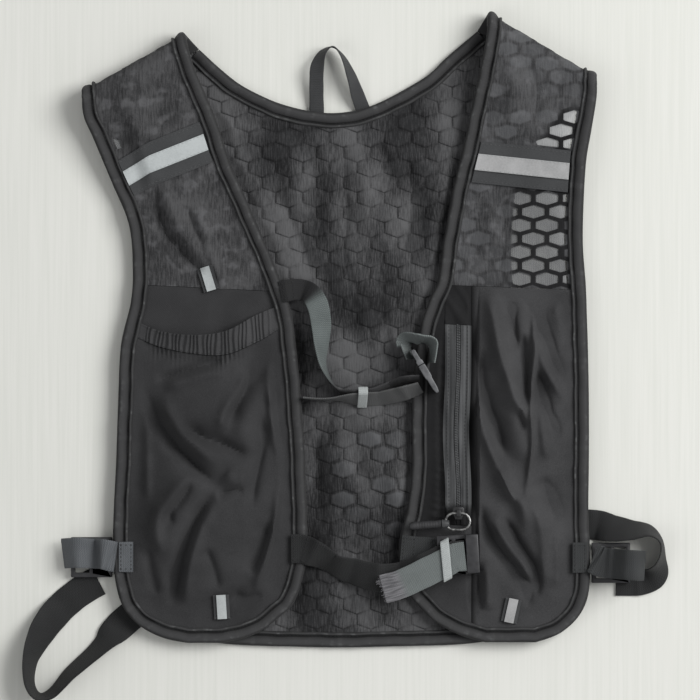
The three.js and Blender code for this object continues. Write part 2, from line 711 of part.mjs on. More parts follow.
// One binding down a front's inner edge, round its foot and up its outer edge
function frontBinding(front, upperGrid, lowerGrid) {
  const facing = gridNormal(upperGrid, upperGrid.length - 1, 2).z > 0 ? 1 : -1;
  const upperPath = (column, lipColumn) =>
    upperGrid.slice(0, -1).map((row, r) => ({
      point: row[column],
      up: gridNormal(upperGrid, r, column).multiplyScalar(facing),
      inward: row[lipColumn].clone().sub(row[column]),
      lip: row[lipColumn].clone().sub(row[column]),
      lipUp: gridNormal(upperGrid, r, lipColumn).multiplyScalar(facing),
    }));
  const upright = new THREE.Vector3(0, 0, 1);
  const bottom = lowerGrid.at(-1);
  const lowerPath = (column) =>
    lowerGrid.map((row, r) => {
      const inner = lowerGrid[Math.min(r, lowerGrid.length - 4)][Math.round(lerp(column, lowerColumns / 2, 0.5))];
      return { point: row[column], up: upright, inward: inner.clone().sub(row[column]) };
    });
  const centre = lowerGrid.at(-4)[2];
  const footPath = [0.33, 0.67].map((t) => {
    const point = bottom[0].clone().lerp(bottom.at(-1), t);
    return { point, up: upright, inward: centre.clone().sub(point) };
  });
  const lastColumn = upperGrid[0].length - 1;
  const path = [
    ...upperPath(0, 1),
    ...lowerPath(0),
    ...footPath,
    ...lowerPath(lowerColumns).reverse(),
    ...upperPath(lastColumn, lastColumn - 1).reverse(),
  ];
  const splitY = front.plan(0.5, front.splitV).y;
  const extra = (p) => (pocketWall + clearance) * smooth((splitY + 12 - p.y) / 12) * (p.z < foldTop ? 1 : 0);
  const column = (key) => path.map((row) => row[key]);
  const stations = edgeStations(
    column("point"), column("up"), column("inward"), frontWall / 2, extra, column("lip"), column("lipUp")
  );
  return sweep(stations, bindingSection, false, bindingPoint);
}

for (const [side, front, band] of [["left", leftFront, leftBand], ["right", rightFront, rightBand]]) {
  const upperGrid = shoulderGrid(front);
  const lowerGrid = pocketBackGrid(front);
  addPiece(`${side}_shoulder_mesh`, openMesh(front, band, walledSheet(upperGrid, frontWall)), meshCloth);
  addPiece(`${side}_pocket_back`, walledSheet(lowerGrid, frontWall), pocketCloth);
  addPiece(`${side}_front_binding`, frontBinding(front, upperGrid, lowerGrid), bindingCloth);
}

// One row of points across a front, between the lips of its two bindings
function rowBetweenLips(front, a, b, columns) {
  const span = b.clone().sub(a);
  const middle = a.clone().addScaledVector(span, 0.5);
  const reach = (sign) => {
    let [low, high] = [0, 0.75];
    for (let i = 0; i < 20; i += 1) {
      const half = (low + high) / 2;
      if (front.depth(middle.clone().addScaledVector(span, sign * half)) > lipInside + clearance) {
        low = half;
      } else {
        high = half;
      }
    }
    return low;
  };
  const [before, after] = [-reach(-1), reach(1)];
  return steps(columns).map((t) => middle.clone().addScaledVector(span, lerp(before, after, t)));
}

function shoulderBand(front, band, height, under) {
  const a = spot({ x: band.innerX, y: band.innerY });
  const b = spot({ x: band.outerX, y: band.outerY });
  const along = b.clone().sub(a).normalize();
  const sideways = new THREE.Vector2(-along.y, along.x);
  const grid = [-0.5, -0.17, 0.17, 0.5].map((share) => {
    const shift = sideways.clone().multiplyScalar(share * height);
    return rowBetweenLips(front, a.clone().add(shift), b.clone().add(shift), 6).map(
      (p) => new THREE.Vector3(p.x, p.y, overFront(front, p, tapeWall, drape, under))
    );
  });
  return uprightSheet(grid, tapeWall);
}

for (const [side, front, band] of [["left", leftFront, leftBand], ["right", rightFront, rightBand]]) {
  addPiece(`${side}_shoulder_tape`, shoulderBand(front, band, bandHeight, 0), pocketCloth);
  const under = tapeWall + clearance;
  addPiece(`${side}_shoulder_stripe`, shoulderBand(front, band, stripeHeight, under), silverCloth);
}

// Small reflective tabs, each a folded tape with a silver stripe

const noPuff = () => 0;
const tabs = [
  { name: "left_shoulder_tab", front: leftFront, puff: noPuff, base: -clearance, x: -0.523, y: 0.42, lean: 17 },
  { name: "left_pocket_tab", front: leftFront, puff: leftPuff, base: pocketWall, x: -0.47, y: 0.94, lean: 3 },
  { name: "right_pocket_tab", front: rightFront, puff: rightPuff, base: pocketWall, x: 0.652, y: 0.946, lean: -12 },
];

function tabSheet(tab, width, under) {
  const centre = spot(tab);
  const turn = radians(tab.lean);
  const top = (p) => overFront(tab.front, p, tapeWall, tab.puff(p) + drape, tab.base + clearance + under);
  const grid = steps(3).map((t) =>
    [-0.5, 0, 0.5].map((share) => {
      const place = new THREE.Vector2(share * width, (0.5 - t) * tabLength).rotateAround(new THREE.Vector2(), turn);
      place.add(centre);
      return new THREE.Vector3(place.x, place.y, top(place));
    })
  );
  return uprightSheet(grid, tapeWall);
}

for (const tab of tabs) {
  addPiece(tab.name, tabSheet(tab, tabWidth, 0), pocketCloth);
  addPiece(`${tab.name}_stripe`, tabSheet(tab, tabStripe, tapeWall + clearance), silverCloth);
}

// What lies under a strap at one place: the back, the fronts, their pockets and bindings

function frontTop(front, place, puff, pocketFrom) {
  const depth = front.depth(place);
  const nose = bindingWall + 3 * clearance;
  const cloth = front.height(place) + frontWall / 2;
  const inPocket = (vestLength / 2 - place.y) / vestLength > pocketFrom ? 1 : 0;
  const layer = inPocket * (clearance + pocketWall);
  if (depth < -nose) {
    return 0;
  }
  if (depth < lipInside + clearance) {
    return cloth + clearance + layer + bindingCrown;
  }
  return cloth + layer + inPocket * puff(place);
}

function topAt(place) {
  const depth = depthInside(backOutline, place);
  const back = depth < -bindingWall - 3 * clearance ? 0 : backBindingTop;
  const backTopHere = depth > lipInside + 2 ? backWall + 0.4 : back;
  const left = frontTop(leftFront, place, leftPuff, 0.44);
  return Math.max(backTopHere, left, frontTop(rightFront, place, rightPuff, 0.45));
}

function rightPuff(place) {
  const down = (vestLength / 2 - place.y) / vestLength;
  const belly = zipPuff * smooth((down - 0.44) / 0.1) * lerp(1, 0.6, smooth((down - 0.75) / 0.25));
  const rise = belly + foldRelief(place, rightFolds, foldDepth);
  return edgeRise(rightFront, place) * Math.max(rise, 0);
}

// Bottle pocket and its gathered elastic band

const leftMouthV = (curve) => (u) => leftFront.rowAt(u, along(mouthShare(curve, u)));
const bandEndV = leftMouthV(mouthBottom);
const pocketColumns = steps(14);
const pocketStartV = (u) => bandEndV(u) + clearance / vestLength;
const leftPocket = pocketGrid(leftFront, pocketColumns, pocketStartV, () => footV, 10, leftPuff);
addPiece("left_bottle_pocket", uprightSheet(leftPocket, pocketWall), pocketCloth);

const gatherStart = 0.12; // the band is smooth before and after its gathers
const gatherEnd = 0.88;

function bandPuff(place, u) {
  const inGathers = smooth((u - gatherStart) / 0.04) * smooth((gatherEnd - u) / 0.04);
  const rib = Math.cos((2 * Math.PI * ribCount * (u - gatherStart)) / (gatherEnd - gatherStart));
  return leftPuff(place) + ribHeight * inGathers * (1 + rib) * 0.5 + ribHeight * inGathers * 0.3;
}

function pocketBand() {
  const columns = steps(Math.round((ribCount * 2) / (gatherEnd - gatherStart)));
  const grid = steps(1).map((t) =>
    columns.map((u) => {
      const v = lerp(leftMouthV(mouthTop)(u), bandEndV(u), t);
      const place = insetPlan(leftFront, u, v);
      return new THREE.Vector3(place.x, place.y, overFront(leftFront, place, pocketWall, bandPuff(place, u)));
    })
  );
  return uprightSheet(grid, pocketWall);
}

addPiece("left_pocket_band", pocketBand(), pocketCloth);

// Zip pocket: a gusset along the front's inner edge, the zip, and the gathered cloth

const zipX = across(0.447);
const zipTopY = along(0.493);
const lowerBuckleCentre = spot({ x: 0.445, y: 0.856 });
const lowerFrameWidth = lowerWebbing + 2 * (clearance + buckleBar);
const ringRoom = 2.7; // between the zip pull's ring and the lower chest buckle
const zipEndY =
  lowerBuckleCentre.y + lowerFrameWidth / 2 + ringRoom + wire + ringWidth + sliderLength / 2 + clearance;
const baseShare = 0.812; // where the cloth closes below the zip
const tapeInnerX = zipX - zipTeethWidth / 2 - clearance - zipTapeWidth;
const tapeOuterX = zipX + zipTeethWidth / 2 + clearance + zipTapeWidth;
// Share of the way across a front's inset width at which a line lies, straight down the vest
const shareAtX = (front, v, x) => {
  const [a, b] = [insetPlan(front, 0, v).x, insetPlan(front, 1, v).x];
  return (x - a) / (b - a);
};
const rightBaseV = rightFront.rowAt(0.5, along(baseShare));
const rightTopV = rightFront.splitV + clearance / vestLength;

function rightStrip(fromX, toX, startV, endV, columnCount, rowCount) {
  const grid = steps(rowCount).map((t) => {
    const v = lerp(startV, endV, t);
    const from = fromX === null ? 0 : shareAtX(rightFront, v, fromX);
    const to = toX === null ? 1 : shareAtX(rightFront, v, toX);
    return steps(columnCount).map((share) => {
      const place = insetPlan(rightFront, lerp(from, to, share), v);
      return new THREE.Vector3(place.x, place.y, overFront(rightFront, place, pocketWall, rightPuff(place)));
    });
  });
  return uprightSheet(grid, pocketWall);
}

const zipCapV = rightFront.rowAt(0.2, zipTopY);
const baseGap = clearance / vestLength;
addPiece("right_zip_gusset", rightStrip(null, tapeInnerX - clearance, rightTopV, rightBaseV, 3, 12), pocketCloth);
addPiece("right_pocket", rightStrip(tapeOuterX + clearance, null, rightTopV, rightBaseV, 9, 12), pocketCloth);
addPiece("right_pocket_base", rightStrip(null, null, rightBaseV + baseGap, footV, 11, 5), pocketCloth);
addPiece("zip_cap", rightStrip(tapeInnerX, tapeOuterX, rightTopV, zipCapV - baseGap, 3, 3), pocketCloth);
const zipTopV = zipCapV;
const zipEndV = rightFront.rowAt(0.2, zipEndY);
addPiece("zip_tape_inner", rightStrip(tapeInnerX, tapeInnerX + zipTapeWidth, zipTopV, rightBaseV, 1, 11), pocketCloth);
addPiece("zip_tape_outer", rightStrip(tapeOuterX - zipTapeWidth, tapeOuterX, zipTopV, rightBaseV, 1, 11), pocketCloth);

// Teeth: one bar with a small rib for each pair
function zipTeeth() {
  const count = 26;
  const grid = steps(count).map((t, row) =>
    [-0.5, 0.5].map((share) => {
      const place = new THREE.Vector2(zipX + share * zipTeethWidth, lerp(zipTopY, zipEndY, t));
      const tooth = row % 2 ? 0.35 : 0;
      return new THREE.Vector3(place.x, place.y, overFront(rightFront, place, pocketWall, rightPuff(place)) + tooth);
    })
  );
  return uprightSheet(grid, pocketWall);
}

addPiece("zip_teeth", zipTeeth(), zipPlastic);

// Zip slider with its bridge, and the pull that turns in it

const tunnel = wire + clearance;
const sliderY = zipEndY - sliderLength / 2 - clearance;
const sliderPlace = new THREE.Vector2(zipX, sliderY);
const footprintTop = (centre, reachX, reachY, topOf) =>
  Math.max(...steps(4).flatMap((s) => steps(4).map((t) =>
    topOf(new THREE.Vector2(centre.x + (s * 2 - 1) * reachX, centre.y + (t * 2 - 1) * reachY)))));
const sliderBase = footprintTop(sliderPlace, sliderWidth / 2, sliderLength / 2, topAt) + clearance;
const pullAxisZ = sliderBase + sliderHeight + tunnel;
const pullAxisY = sliderY;

function box(width, depth, height, x, y, z) {
  const geometry = new THREE.BoxGeometry(width, depth, height);
  geometry.translate(x, y, z);
  return geometry;
}

function slider() {
  const body = asManifold(box(sliderWidth, sliderLength, sliderHeight, zipX, sliderY, sliderBase + sliderHeight / 2));
  const postHeight = 2 * tunnel + bridgeWall;
  const postZ = sliderBase + sliderHeight + postHeight / 2 - 0.1;
  const postShift = tunnel + bridgeWall / 2;
  const postNear = asManifold(box(bridgeWidth, bridgeWall, postHeight + 0.2, zipX, sliderY - postShift, postZ));
  const postFar = asManifold(box(bridgeWidth, bridgeWall, postHeight + 0.2, zipX, sliderY + postShift, postZ));
  const barZ = pullAxisZ + tunnel + bridgeWall / 2;
  const bar = asManifold(box(bridgeWidth, 2 * postShift + bridgeWall, bridgeWall, zipX, sliderY, barZ));
  return asGeometry(body.add(postNear).add(postFar).add(bar));
}

addPiece("zip_slider", slider(), zipPlastic);

// A round-ended loop of wire, whose far straight side runs through the bridge
function ringPath(length, width) {
  const turn = width / 2;
  const straight = length / 2 - turn;
  const half = (sign) => steps(6).map((t) => {
    const angle = radians(lerp(90, -90, t));
    const x = sign * (straight + turn * Math.cos(angle));
    return new THREE.Vector2(x, sign * turn * Math.sin(angle));
  });
  return [...half(1), ...half(-1)];
}

const ringCentreX = zipX - (ringLength / 2 - ringWidth / 2) + bridgeWidth * 0.75;
const roundSection = (radius, sides) =>
  steps(sides).slice(0, sides).map((t) => [radius * Math.cos(2 * Math.PI * t), radius * Math.sin(2 * Math.PI * t)]);

function ringStations() {
  const path = ringPath(ringLength, ringWidth);
  const points = path.map((p) => new THREE.Vector3(ringCentreX + p.x, pullAxisY - ringWidth / 2 + p.y, pullAxisZ));
  const up = new THREE.Vector3(0, 0, 1);
  return points.map((point, i) => {
    const before = points[(i + points.length - 1) % points.length];
    const after = points[(i + 1) % points.length];
    const tangent = after.clone().sub(before).normalize();
    return { point, out: tangent.clone().cross(up).normalize(), up };
  });
}

const ringSides = 8;
addPiece("pull_ring", sweep(ringStations(), () => roundSection(wire, ringSides), true), wireMetal);

const gripDrop = 2.2; // how far the grip's free end hangs below the ring
const gripLean = 0.07; // its free end lies a little nearer the hem
const gripStart = new THREE.Vector3(
  ringCentreX - ringLength / 2 + 3 * wire,
  pullAxisY - ringWidth * 0.62,
  pullAxisZ
);
const gripWay = new THREE.Vector3(-1, -gripLean, -gripDrop / gripLength).normalize();
const collarLength = 6 * wire;

// A turned piece along the grip's direction, from its outline of distance and radius
function alongGrip(profile, sides) {
  const geometry = cleaned(new THREE.LatheGeometry(profile.map(([d, r]) => new THREE.Vector2(r, d)), sides));
  const turn = new THREE.Quaternion().setFromUnitVectors(new THREE.Vector3(0, 1, 0), gripWay);
  geometry.applyQuaternion(turn);
  geometry.translate(gripStart.x, gripStart.y, gripStart.z);
  return geometry;
}

const collarProfile = [[0, 0], [0, gripRadius * 0.8], [collarLength, gripRadius * 1.08], [collarLength, 0]];
const collarHole = sweep(ringStations(), () => roundSection(wire + clearance, ringSides), true);
const collar = asManifold(alongGrip(collarProfile, 10)).subtract(asManifold(collarHole));
addPiece("pull_collar", asGeometry(collar), zipPlastic);
const gripFrom = collarLength + clearance;
const gripProfile = [
  [gripFrom, 0],
  [gripFrom, gripRadius],
  [gripFrom + gripLength * 0.8, gripRadius],
  [gripFrom + gripLength - collarLength - 1, gripRadius * 0.8],
  [gripFrom + gripLength - collarLength, 0],
];
addPiece("pull_grip", alongGrip(gripProfile, 10), zipPlastic);

// Straps: a route of rows, each with its tilt and its rise above what it lies on

const halfHeight = (tip, width, wall) =>
  (Math.abs(Math.sin(radians(tip))) * width + Math.abs(Math.cos(radians(tip))) * wall) / 2;

function strapStations(rows, width, wall, count, ground = topAt) {
  const path = new THREE.CatmullRomCurve3(
    rows.map((row) => new THREE.Vector3(across(row.x), along(row.y), 0)), false, "catmullrom", 0.5
  );
  const tilts = new THREE.CatmullRomCurve3(
    rows.map((row) => new THREE.Vector3(row.tip, row.rise, 0)), false, "catmullrom", 0.5
  );
  const marks = steps(count).map((t) => {
    const point = path.getPoint(t);
    const tangent = path.getTangent(t);
    const { x: tip, y: rise } = tilts.getPoint(t);
    const side = new THREE.Vector3(-tangent.y, tangent.x, 0).normalize().multiplyScalar(Math.cos(radians(tip)));
    side.z = Math.sin(radians(tip));
    const reach = [-0.5, -0.25, 0, 0.25, 0.5];
    const under = Math.max(...reach.map((s) =>
      ground(new THREE.Vector2(point.x + side.x * s * width, point.y + side.y * s * width))));
    return { point, side, under, lift: halfHeight(tip, width, wall) + clearance + rise * strapLift };
  });
  const near = (list, i, reach) => list.slice(Math.max(i - reach, 0), i + reach + 1);
  const highest = marks.map((_, i) => Math.max(...near(marks, i, 2).map((mark) => mark.under)));
  marks.forEach((mark, i) => {
    const around = near(highest, i, 1);
    mark.point.z = around.reduce((sum, z) => sum + z, 0) / around.length + mark.lift;
  });
  return marks.map((mark, i) => {
    const before = marks[Math.max(i - 1, 0)].point;
    const after = marks[Math.min(i + 1, marks.length - 1)].point;
    const tangent = after.clone().sub(before).normalize();
    const out = mark.side.clone().addScaledVector(tangent, -mark.side.dot(tangent)).normalize();
    return { point: mark.point, out, up: out.clone().cross(tangent).normalize(), tangent };
  });
}

const ribbonSection = (width, wall) => () => [
  [-width / 2, -wall / 2],
  [width / 2, -wall / 2],
  [width / 2, wall / 2],
  [-width / 2, wall / 2],
];

// Top of a strap that another one lies on
function ribbonTop(stations, width, wall) {
  return (place) => {
    let top = 0;
    for (const { point, out } of stations) {
      if (Math.hypot(point.x - place.x, point.y - place.y) < width * 0.75) {
        top = Math.max(top, point.z + (Math.abs(out.z) * width) / 2 + wall / 2);
      }
    }
    return top;
  };
}

function addStrap(name, stations, width, wall, material) {
  addPiece(name, sweep(stations, ribbonSection(width, wall)), material);
}

// Upper chest strap

const upperStrapRows = [
  { x: -0.24, y: 0.441, tip: 0, rise: 0.03 },
  { x: -0.183, y: 0.437, tip: 0, rise: 0.15 },
  { x: -0.132, y: 0.442, tip: -6, rise: 0.6 },
  { x: -0.1, y: 0.46, tip: -10, rise: 0.85 },
  { x: -0.085, y: 0.49, tip: -14, rise: 0.85 },
  { x: -0.082, y: 0.525, tip: -35, rise: 0.6 },
  { x: -0.08, y: 0.555, tip: -62, rise: 0.35 },
  { x: -0.062, y: 0.58, tip: -84, rise: 0.15 },
  { x: -0.012, y: 0.598, tip: -96, rise: 0.05 },
  { x: 0.035, y: 0.604, tip: -118, rise: 0.3 },
  { x: 0.078, y: 0.6055, tip: -128, rise: 0.35 },
  { x: 0.128, y: 0.601, tip: -122, rise: 0.3 },
  { x: 0.187, y: 0.59, tip: -114, rise: 0.03 },
  { x: 0.245, y: 0.581, tip: -112, rise: 0.03 },
  { x: 0.296, y: 0.579, tip: -112, rise: 0.03 },
];
const upperTailRows = [
  { x: -0.155, y: 0.6085, tip: -92, rise: 0.03 },
  { x: -0.09, y: 0.611, tip: -94, rise: 0.03 },
  { x: -0.03, y: 0.6105, tip: -98, rise: 0.03 },
  { x: 0.035, y: 0.6105, tip: -118, rise: 0.3 },
  { x: 0.078, y: 0.6105, tip: -128, rise: 0.35 },
  { x: 0.14, y: 0.61, tip: -130, rise: 0.25 },
  { x: 0.22, y: 0.603, tip: -130, rise: 0.03 },
  { x: 0.27, y: 0.597, tip: -128, rise: 0.03 },
  { x: 0.3, y: 0.592, tip: -122, rise: 0.03 },
];
const upperStations = strapStations(upperStrapRows, upperWebbing, webbingWall, 36);
const upperTailStations = strapStations(upperTailRows, upperWebbing, webbingWall, 19);
addStrap("upper_strap", upperStations, upperWebbing, webbingWall, webbingCloth);
addStrap("upper_tail", upperTailStations, upperWebbing, webbingWall, webbingCloth);

// A keeper round two plies of strap, as wide across as they are and lying square to them
function keeper(first, second, webbing, length, wall) {
  const centre = first.point.clone().add(second.point).multiplyScalar(0.5);
  const apart = Math.abs(second.point.clone().sub(first.point).dot(second.up));
  const slip = Math.abs(second.point.clone().sub(first.point).dot(second.out));
  const inner = { wide: webbing + slip + 5 * clearance, deep: apart + webbingWall + 6 * clearance };
  const shape = new THREE.Shape(rectangle(inner.wide + 2 * wall, inner.deep + 2 * wall));
  shape.holes.push(new THREE.Path(rectangle(inner.wide, inner.deep).reverse()));
  const geometry = new THREE.ExtrudeGeometry(shape, { depth: length, bevelEnabled: false });
  geometry.translate(0, 0, -length / 2);
  const basis = new THREE.Matrix4().makeBasis(second.out, second.up, second.out.clone().cross(second.up));
  geometry.applyMatrix4(basis.setPosition(centre));
  return geometry;
}

function rectangle(width, height, x = 0, y = 0) {
  return [[-1, -1], [1, -1], [1, 1], [-1, 1]].map(
    ([i, j]) => new THREE.Vector2(x + (i * width) / 2, y + (j * height) / 2)
  );
}

// The station of a strap nearest to a place across the vest
function stationAt(stations, x) {
  const from = stations.slice(Math.floor(stations.length * 0.3));
  return from.reduce((best, s) => (Math.abs(s.point.x - x) < Math.abs(best.point.x - x) ? s : best));
}

const upperKeeperX = across(0.078);
const upperKeeper = keeper(
  stationAt(upperStations, upperKeeperX), stationAt(upperTailStations, upperKeeperX), upperWebbing, 6.6, 0.9
);
addPiece("upper_keeper", upperKeeper, elasticCloth);

// Upper buckle, fastened and standing on its edge

const buckleTop = spot({ x: 0.268, y: 0.533 });
const buckleEnd = spot({ x: 0.366, y: 0.6 });
const buckleHeight = upperWebbing + 3;
const plugOutline = [[0, 1.6], [0.25, 1.6], [0.25, 2.3], [0.34, 2.3]];
const socketOutline = [[0.35, 2.4], [0.66, 2.4], [0.67, 1.8], [0.9, 1.7], [1, 0.8]];

function uprightBuckle(outline) {
  const way = buckleEnd.clone().sub(buckleTop);
  const length = way.length();
  const side = [...outline].map(([d, half]) => new THREE.Vector2(d * length, half));
  const shape = new THREE.Shape([...side, ...[...side].reverse().map((p) => new THREE.Vector2(p.x, -p.y))].reverse());
  const geometry = new THREE.ExtrudeGeometry(shape, { depth: buckleHeight, bevelEnabled: false });
  geometry.rotateZ(way.angle());
  const ground = Math.max(...steps(8).map((t) => topAt(buckleTop.clone().lerp(buckleEnd, t))));
  geometry.translate(buckleTop.x, buckleTop.y, ground + clearance);
  return geometry;
}

addPiece("upper_buckle_plug", uprightBuckle(plugOutline), plastic);
addPiece("upper_buckle_socket", uprightBuckle(socketOutline), plastic);

const upperAnchorRows = [
  { x: 0.345, y: 0.548, tip: -86, rise: 0.03 },
  { x: 0.352, y: 0.53, tip: -86, rise: 0.03 },
  { x: 0.352, y: 0.515, tip: -86, rise: 0.03 },
  { x: 0.325, y: 0.508, tip: -86, rise: 0.03 },
  { x: 0.285, y: 0.506, tip: -80, rise: 0.03 },
  { x: 0.24, y: 0.503, tip: -75, rise: 0.03 },
  { x: 0.224, y: 0.508, tip: -66, rise: 0.03 },
  { x: 0.236, y: 0.518, tip: -60, rise: 0.03 },
  { x: 0.256, y: 0.5285, tip: -75, rise: 0.03 },
];
const upperAnchor = strapStations(upperAnchorRows, upperWebbing, webbingWall, 26);
addStrap("upper_anchor", upperAnchor, upperWebbing, webbingWall, darkWebbing);

// Lower chest strap


// A flat frame with two slots and a wide lip at one end
function strapFrame(length, webbing, lip) {
  const width = webbing + 2 * (clearance + buckleBar);
  const slot = (length - lip - 2 * buckleBar) / 2;
  let frame = asManifold(box(length, width, frameWall, 0, 0, frameWall / 2));
  for (const i of [0, 1]) {
    const x = -length / 2 + buckleBar + slot / 2 + i * (slot + buckleBar);
    frame = frame.subtract(asManifold(box(slot, width - 2 * buckleBar, frameWall * 3, x, 0, 0)));
  }
  return asGeometry(frame);
}

const lowerTurn = radians(3);
const lowerFrameBase =
  footprintTop(lowerBuckleCentre, lowerBuckleLength / 2 + 1, lowerFrameWidth / 2 + 1, topAt) + clearance;
const lowerFrame = strapFrame(lowerBuckleLength, lowerWebbing, lowerLip);
const lip = box(lowerLip, lowerFrameWidth, frameWall + lipRise, (lowerBuckleLength - lowerLip) / 2, 0, 0);
lip.translate(0, 0, (frameWall + lipRise) / 2);
const lowerBuckle = asGeometry(asManifold(lowerFrame).add(asManifold(lip)));
lowerBuckle.rotateZ(lowerTurn);
lowerBuckle.translate(lowerBuckleCentre.x, lowerBuckleCentre.y, lowerFrameBase);
addPiece("lower_buckle", lowerBuckle, plastic);

const frameLeft = (lowerBuckleCentre.x - lowerBuckleLength / 2 - 1.2) / halfWidth;
const lowerAnchorRows = [
  { x: 0.225, y: 0.849, tip: 0, rise: 0.03 },
  { x: 0.28, y: 0.851, tip: 0, rise: 0.03 },
  { x: frameLeft, y: 0.853, tip: 0, rise: 0.03 },
];
const lowerAnchor = strapStations(lowerAnchorRows, lowerWebbing, webbingWall, 8);
addStrap("lower_anchor", lowerAnchor, lowerWebbing, webbingWall, darkWebbing);
const anchorTop = ribbonTop(lowerAnchor, lowerWebbing, webbingWall);
const overLowerFrame = (place) => {
  const near = place.distanceTo(lowerBuckleCentre) < lowerBuckleLength * 0.75;
  return Math.max(topAt(place), anchorTop(place), near ? lowerFrameBase + frameWall : 0);
};
const lipX = (lowerBuckleCentre.x + lowerBuckleLength / 2 - lowerLip - 3) / halfWidth;
const lowerStrapRows = [
  { x: -0.2, y: 0.848, tip: 0, rise: 0.03 },
  { x: -0.15, y: 0.849, tip: 5, rise: 0.05 },
  { x: -0.09, y: 0.86, tip: 30, rise: 0.1 },
  { x: -0.04, y: 0.872, tip: 45, rise: 0.1 },
  { x: 0.03, y: 0.883, tip: 25, rise: 0.03 },
  { x: 0.12, y: 0.893, tip: 8, rise: 0.03 },
  { x: 0.2, y: 0.893, tip: 0, rise: 0.03 },
  { x: 0.27, y: 0.885, tip: 0, rise: 0.03 },
  { x: 0.34, y: 0.872, tip: 0, rise: 0.15 },
  { x: 0.41, y: 0.859, tip: 0, rise: 0.2 },
  { x: lipX, y: 0.8565, tip: 0, rise: 0.03 },
];
const lowerStations = strapStations(lowerStrapRows, lowerWebbing, webbingWall, 25, overLowerFrame);
addStrap("lower_strap", lowerStations, lowerWebbing, webbingWall, webbingCloth);
const lowerTop = ribbonTop(lowerStations, lowerWebbing, webbingWall);
const lowerTailRows = [
  { x: 0.156, y: 0.911, tip: 0, rise: 0.03 },
  { x: 0.215, y: 0.904, tip: 0, rise: 0.03 },
  { x: 0.276, y: 0.893, tip: 0, rise: 0.03 },
  { x: 0.34, y: 0.88, tip: 0, rise: 0.03 },
  { x: 0.4, y: 0.868, tip: 0, rise: 0.03 },
  { x: 0.43, y: 0.861, tip: 0, rise: 0.03 },
  { x: lipX, y: 0.8585, tip: 0, rise: 0.03 },
];
const overLowerStrap = (place) => Math.max(overLowerFrame(place), lowerTop(place));
const lowerTailStations = strapStations(lowerTailRows, lowerWebbing, webbingWall, 15, overLowerStrap);
addStrap("lower_tail", lowerTailStations, lowerWebbing, webbingWall, webbingCloth);
const lowerKeeperX = across(0.405);
const lowerKeeper = keeper(
  stationAt(lowerStations, lowerKeeperX), stationAt(lowerTailStations, lowerKeeperX), lowerWebbing, 6.6, 0.9
);
addPiece("lower_keeper", lowerKeeper, elasticCloth);

// Side straps, each with a sewn patch, a frame, and a strap that comes back from the back panel

function sideSet(side, set) {
  const centre = spot(set.frame);
  const ground = footprintTop(centre, set.length / 2, sideWebbing / 2 + buckleBar, () => 0);
  const frame = strapFrame(set.length, sideWebbing, buckleBar);
  frame.translate(centre.x, centre.y, ground + clearance + set.lift);
  addPiece(`${side}_side_buckle`, frame, plastic);
  const overFrame = (place) => {
    const near = Math.abs(place.x - centre.x) < set.length / 2 + 1;
    return Math.max(topAt(place), near ? clearance + set.lift + frameWall : 0);
  };
  addStrap(`${side}_side_patch`, strapStations(set.patch, sideWebbing, webbingWall, 4), sideWebbing, webbingWall,
    darkWebbing);
  const backStations = strapStations(set.back, sideWebbing, webbingWall, 26, () => 0);
  addStrap(`${side}_back_strap`, backStations, sideWebbing, webbingWall, darkWebbing);
  const backStrapTop = ribbonTop(backStations, sideWebbing, webbingWall);
  const overBoth = (place) => Math.max(overFrame(place), backStrapTop(place));
  addStrap(`${side}_side_strap`, strapStations(set.strap, sideWebbing, webbingWall, 18, overBoth), sideWebbing,
    webbingWall, darkWebbing);
}

const leftSide = {
  frame: { x: -0.976, y: 0.862 },
  length: 29,
  lift: webbingWall + 4 * clearance,
  patch: [
    { x: -0.813, y: 0.861, tip: 0, rise: 0.03 },
    { x: -0.868, y: 0.861, tip: 0, rise: 0.03 },
  ],
  strap: [
    { x: -0.88, y: 0.861, tip: 0, rise: 0.03 },
    { x: -0.895, y: 0.86, tip: 0, rise: 0.06 },
    { x: -0.91, y: 0.858, tip: 0, rise: 0.3 },
    { x: -0.935, y: 0.856, tip: 0, rise: 0.7 },
    { x: -0.965, y: 0.856, tip: 0, rise: 0.2 },
    { x: -0.995, y: 0.855, tip: 0, rise: 0.7 },
    { x: -1.03, y: 0.854, tip: 0, rise: 0.9 },
    { x: -1.065, y: 0.855, tip: 0, rise: 0.5 },
    { x: -1.085, y: 0.856, tip: 0, rise: 0.05 },
  ],
  back: [
    { x: -0.7785, y: 0.9403, tip: 0, rise: 0.02 },
    { x: -0.85, y: 0.965, tip: 4, rise: 0.02 },
    { x: -0.885, y: 0.979, tip: 20, rise: 0.02 },
    { x: -0.92, y: 0.994, tip: 48, rise: 0.02 },
    { x: -0.97, y: 1.014, tip: 60, rise: 0.02 },
    { x: -1.061, y: 1.047, tip: 66, rise: 0.02 },
    { x: -1.125, y: 1.076, tip: 72, rise: 0.02 },
    { x: -1.18, y: 1.083, tip: 80, rise: 0.02 },
    { x: -1.215, y: 1.062, tip: 75, rise: 0.02 },
    { x: -1.21, y: 1.02, tip: 60, rise: 0.02 },
    { x: -1.16, y: 0.975, tip: 25, rise: 0.02 },
    { x: -1.09, y: 0.94, tip: 0, rise: 0.02 },
    { x: -1.01, y: 0.914, tip: 0, rise: 0.02 },
    { x: -0.95, y: 0.9, tip: 0, rise: 0.02 },
  ],
};
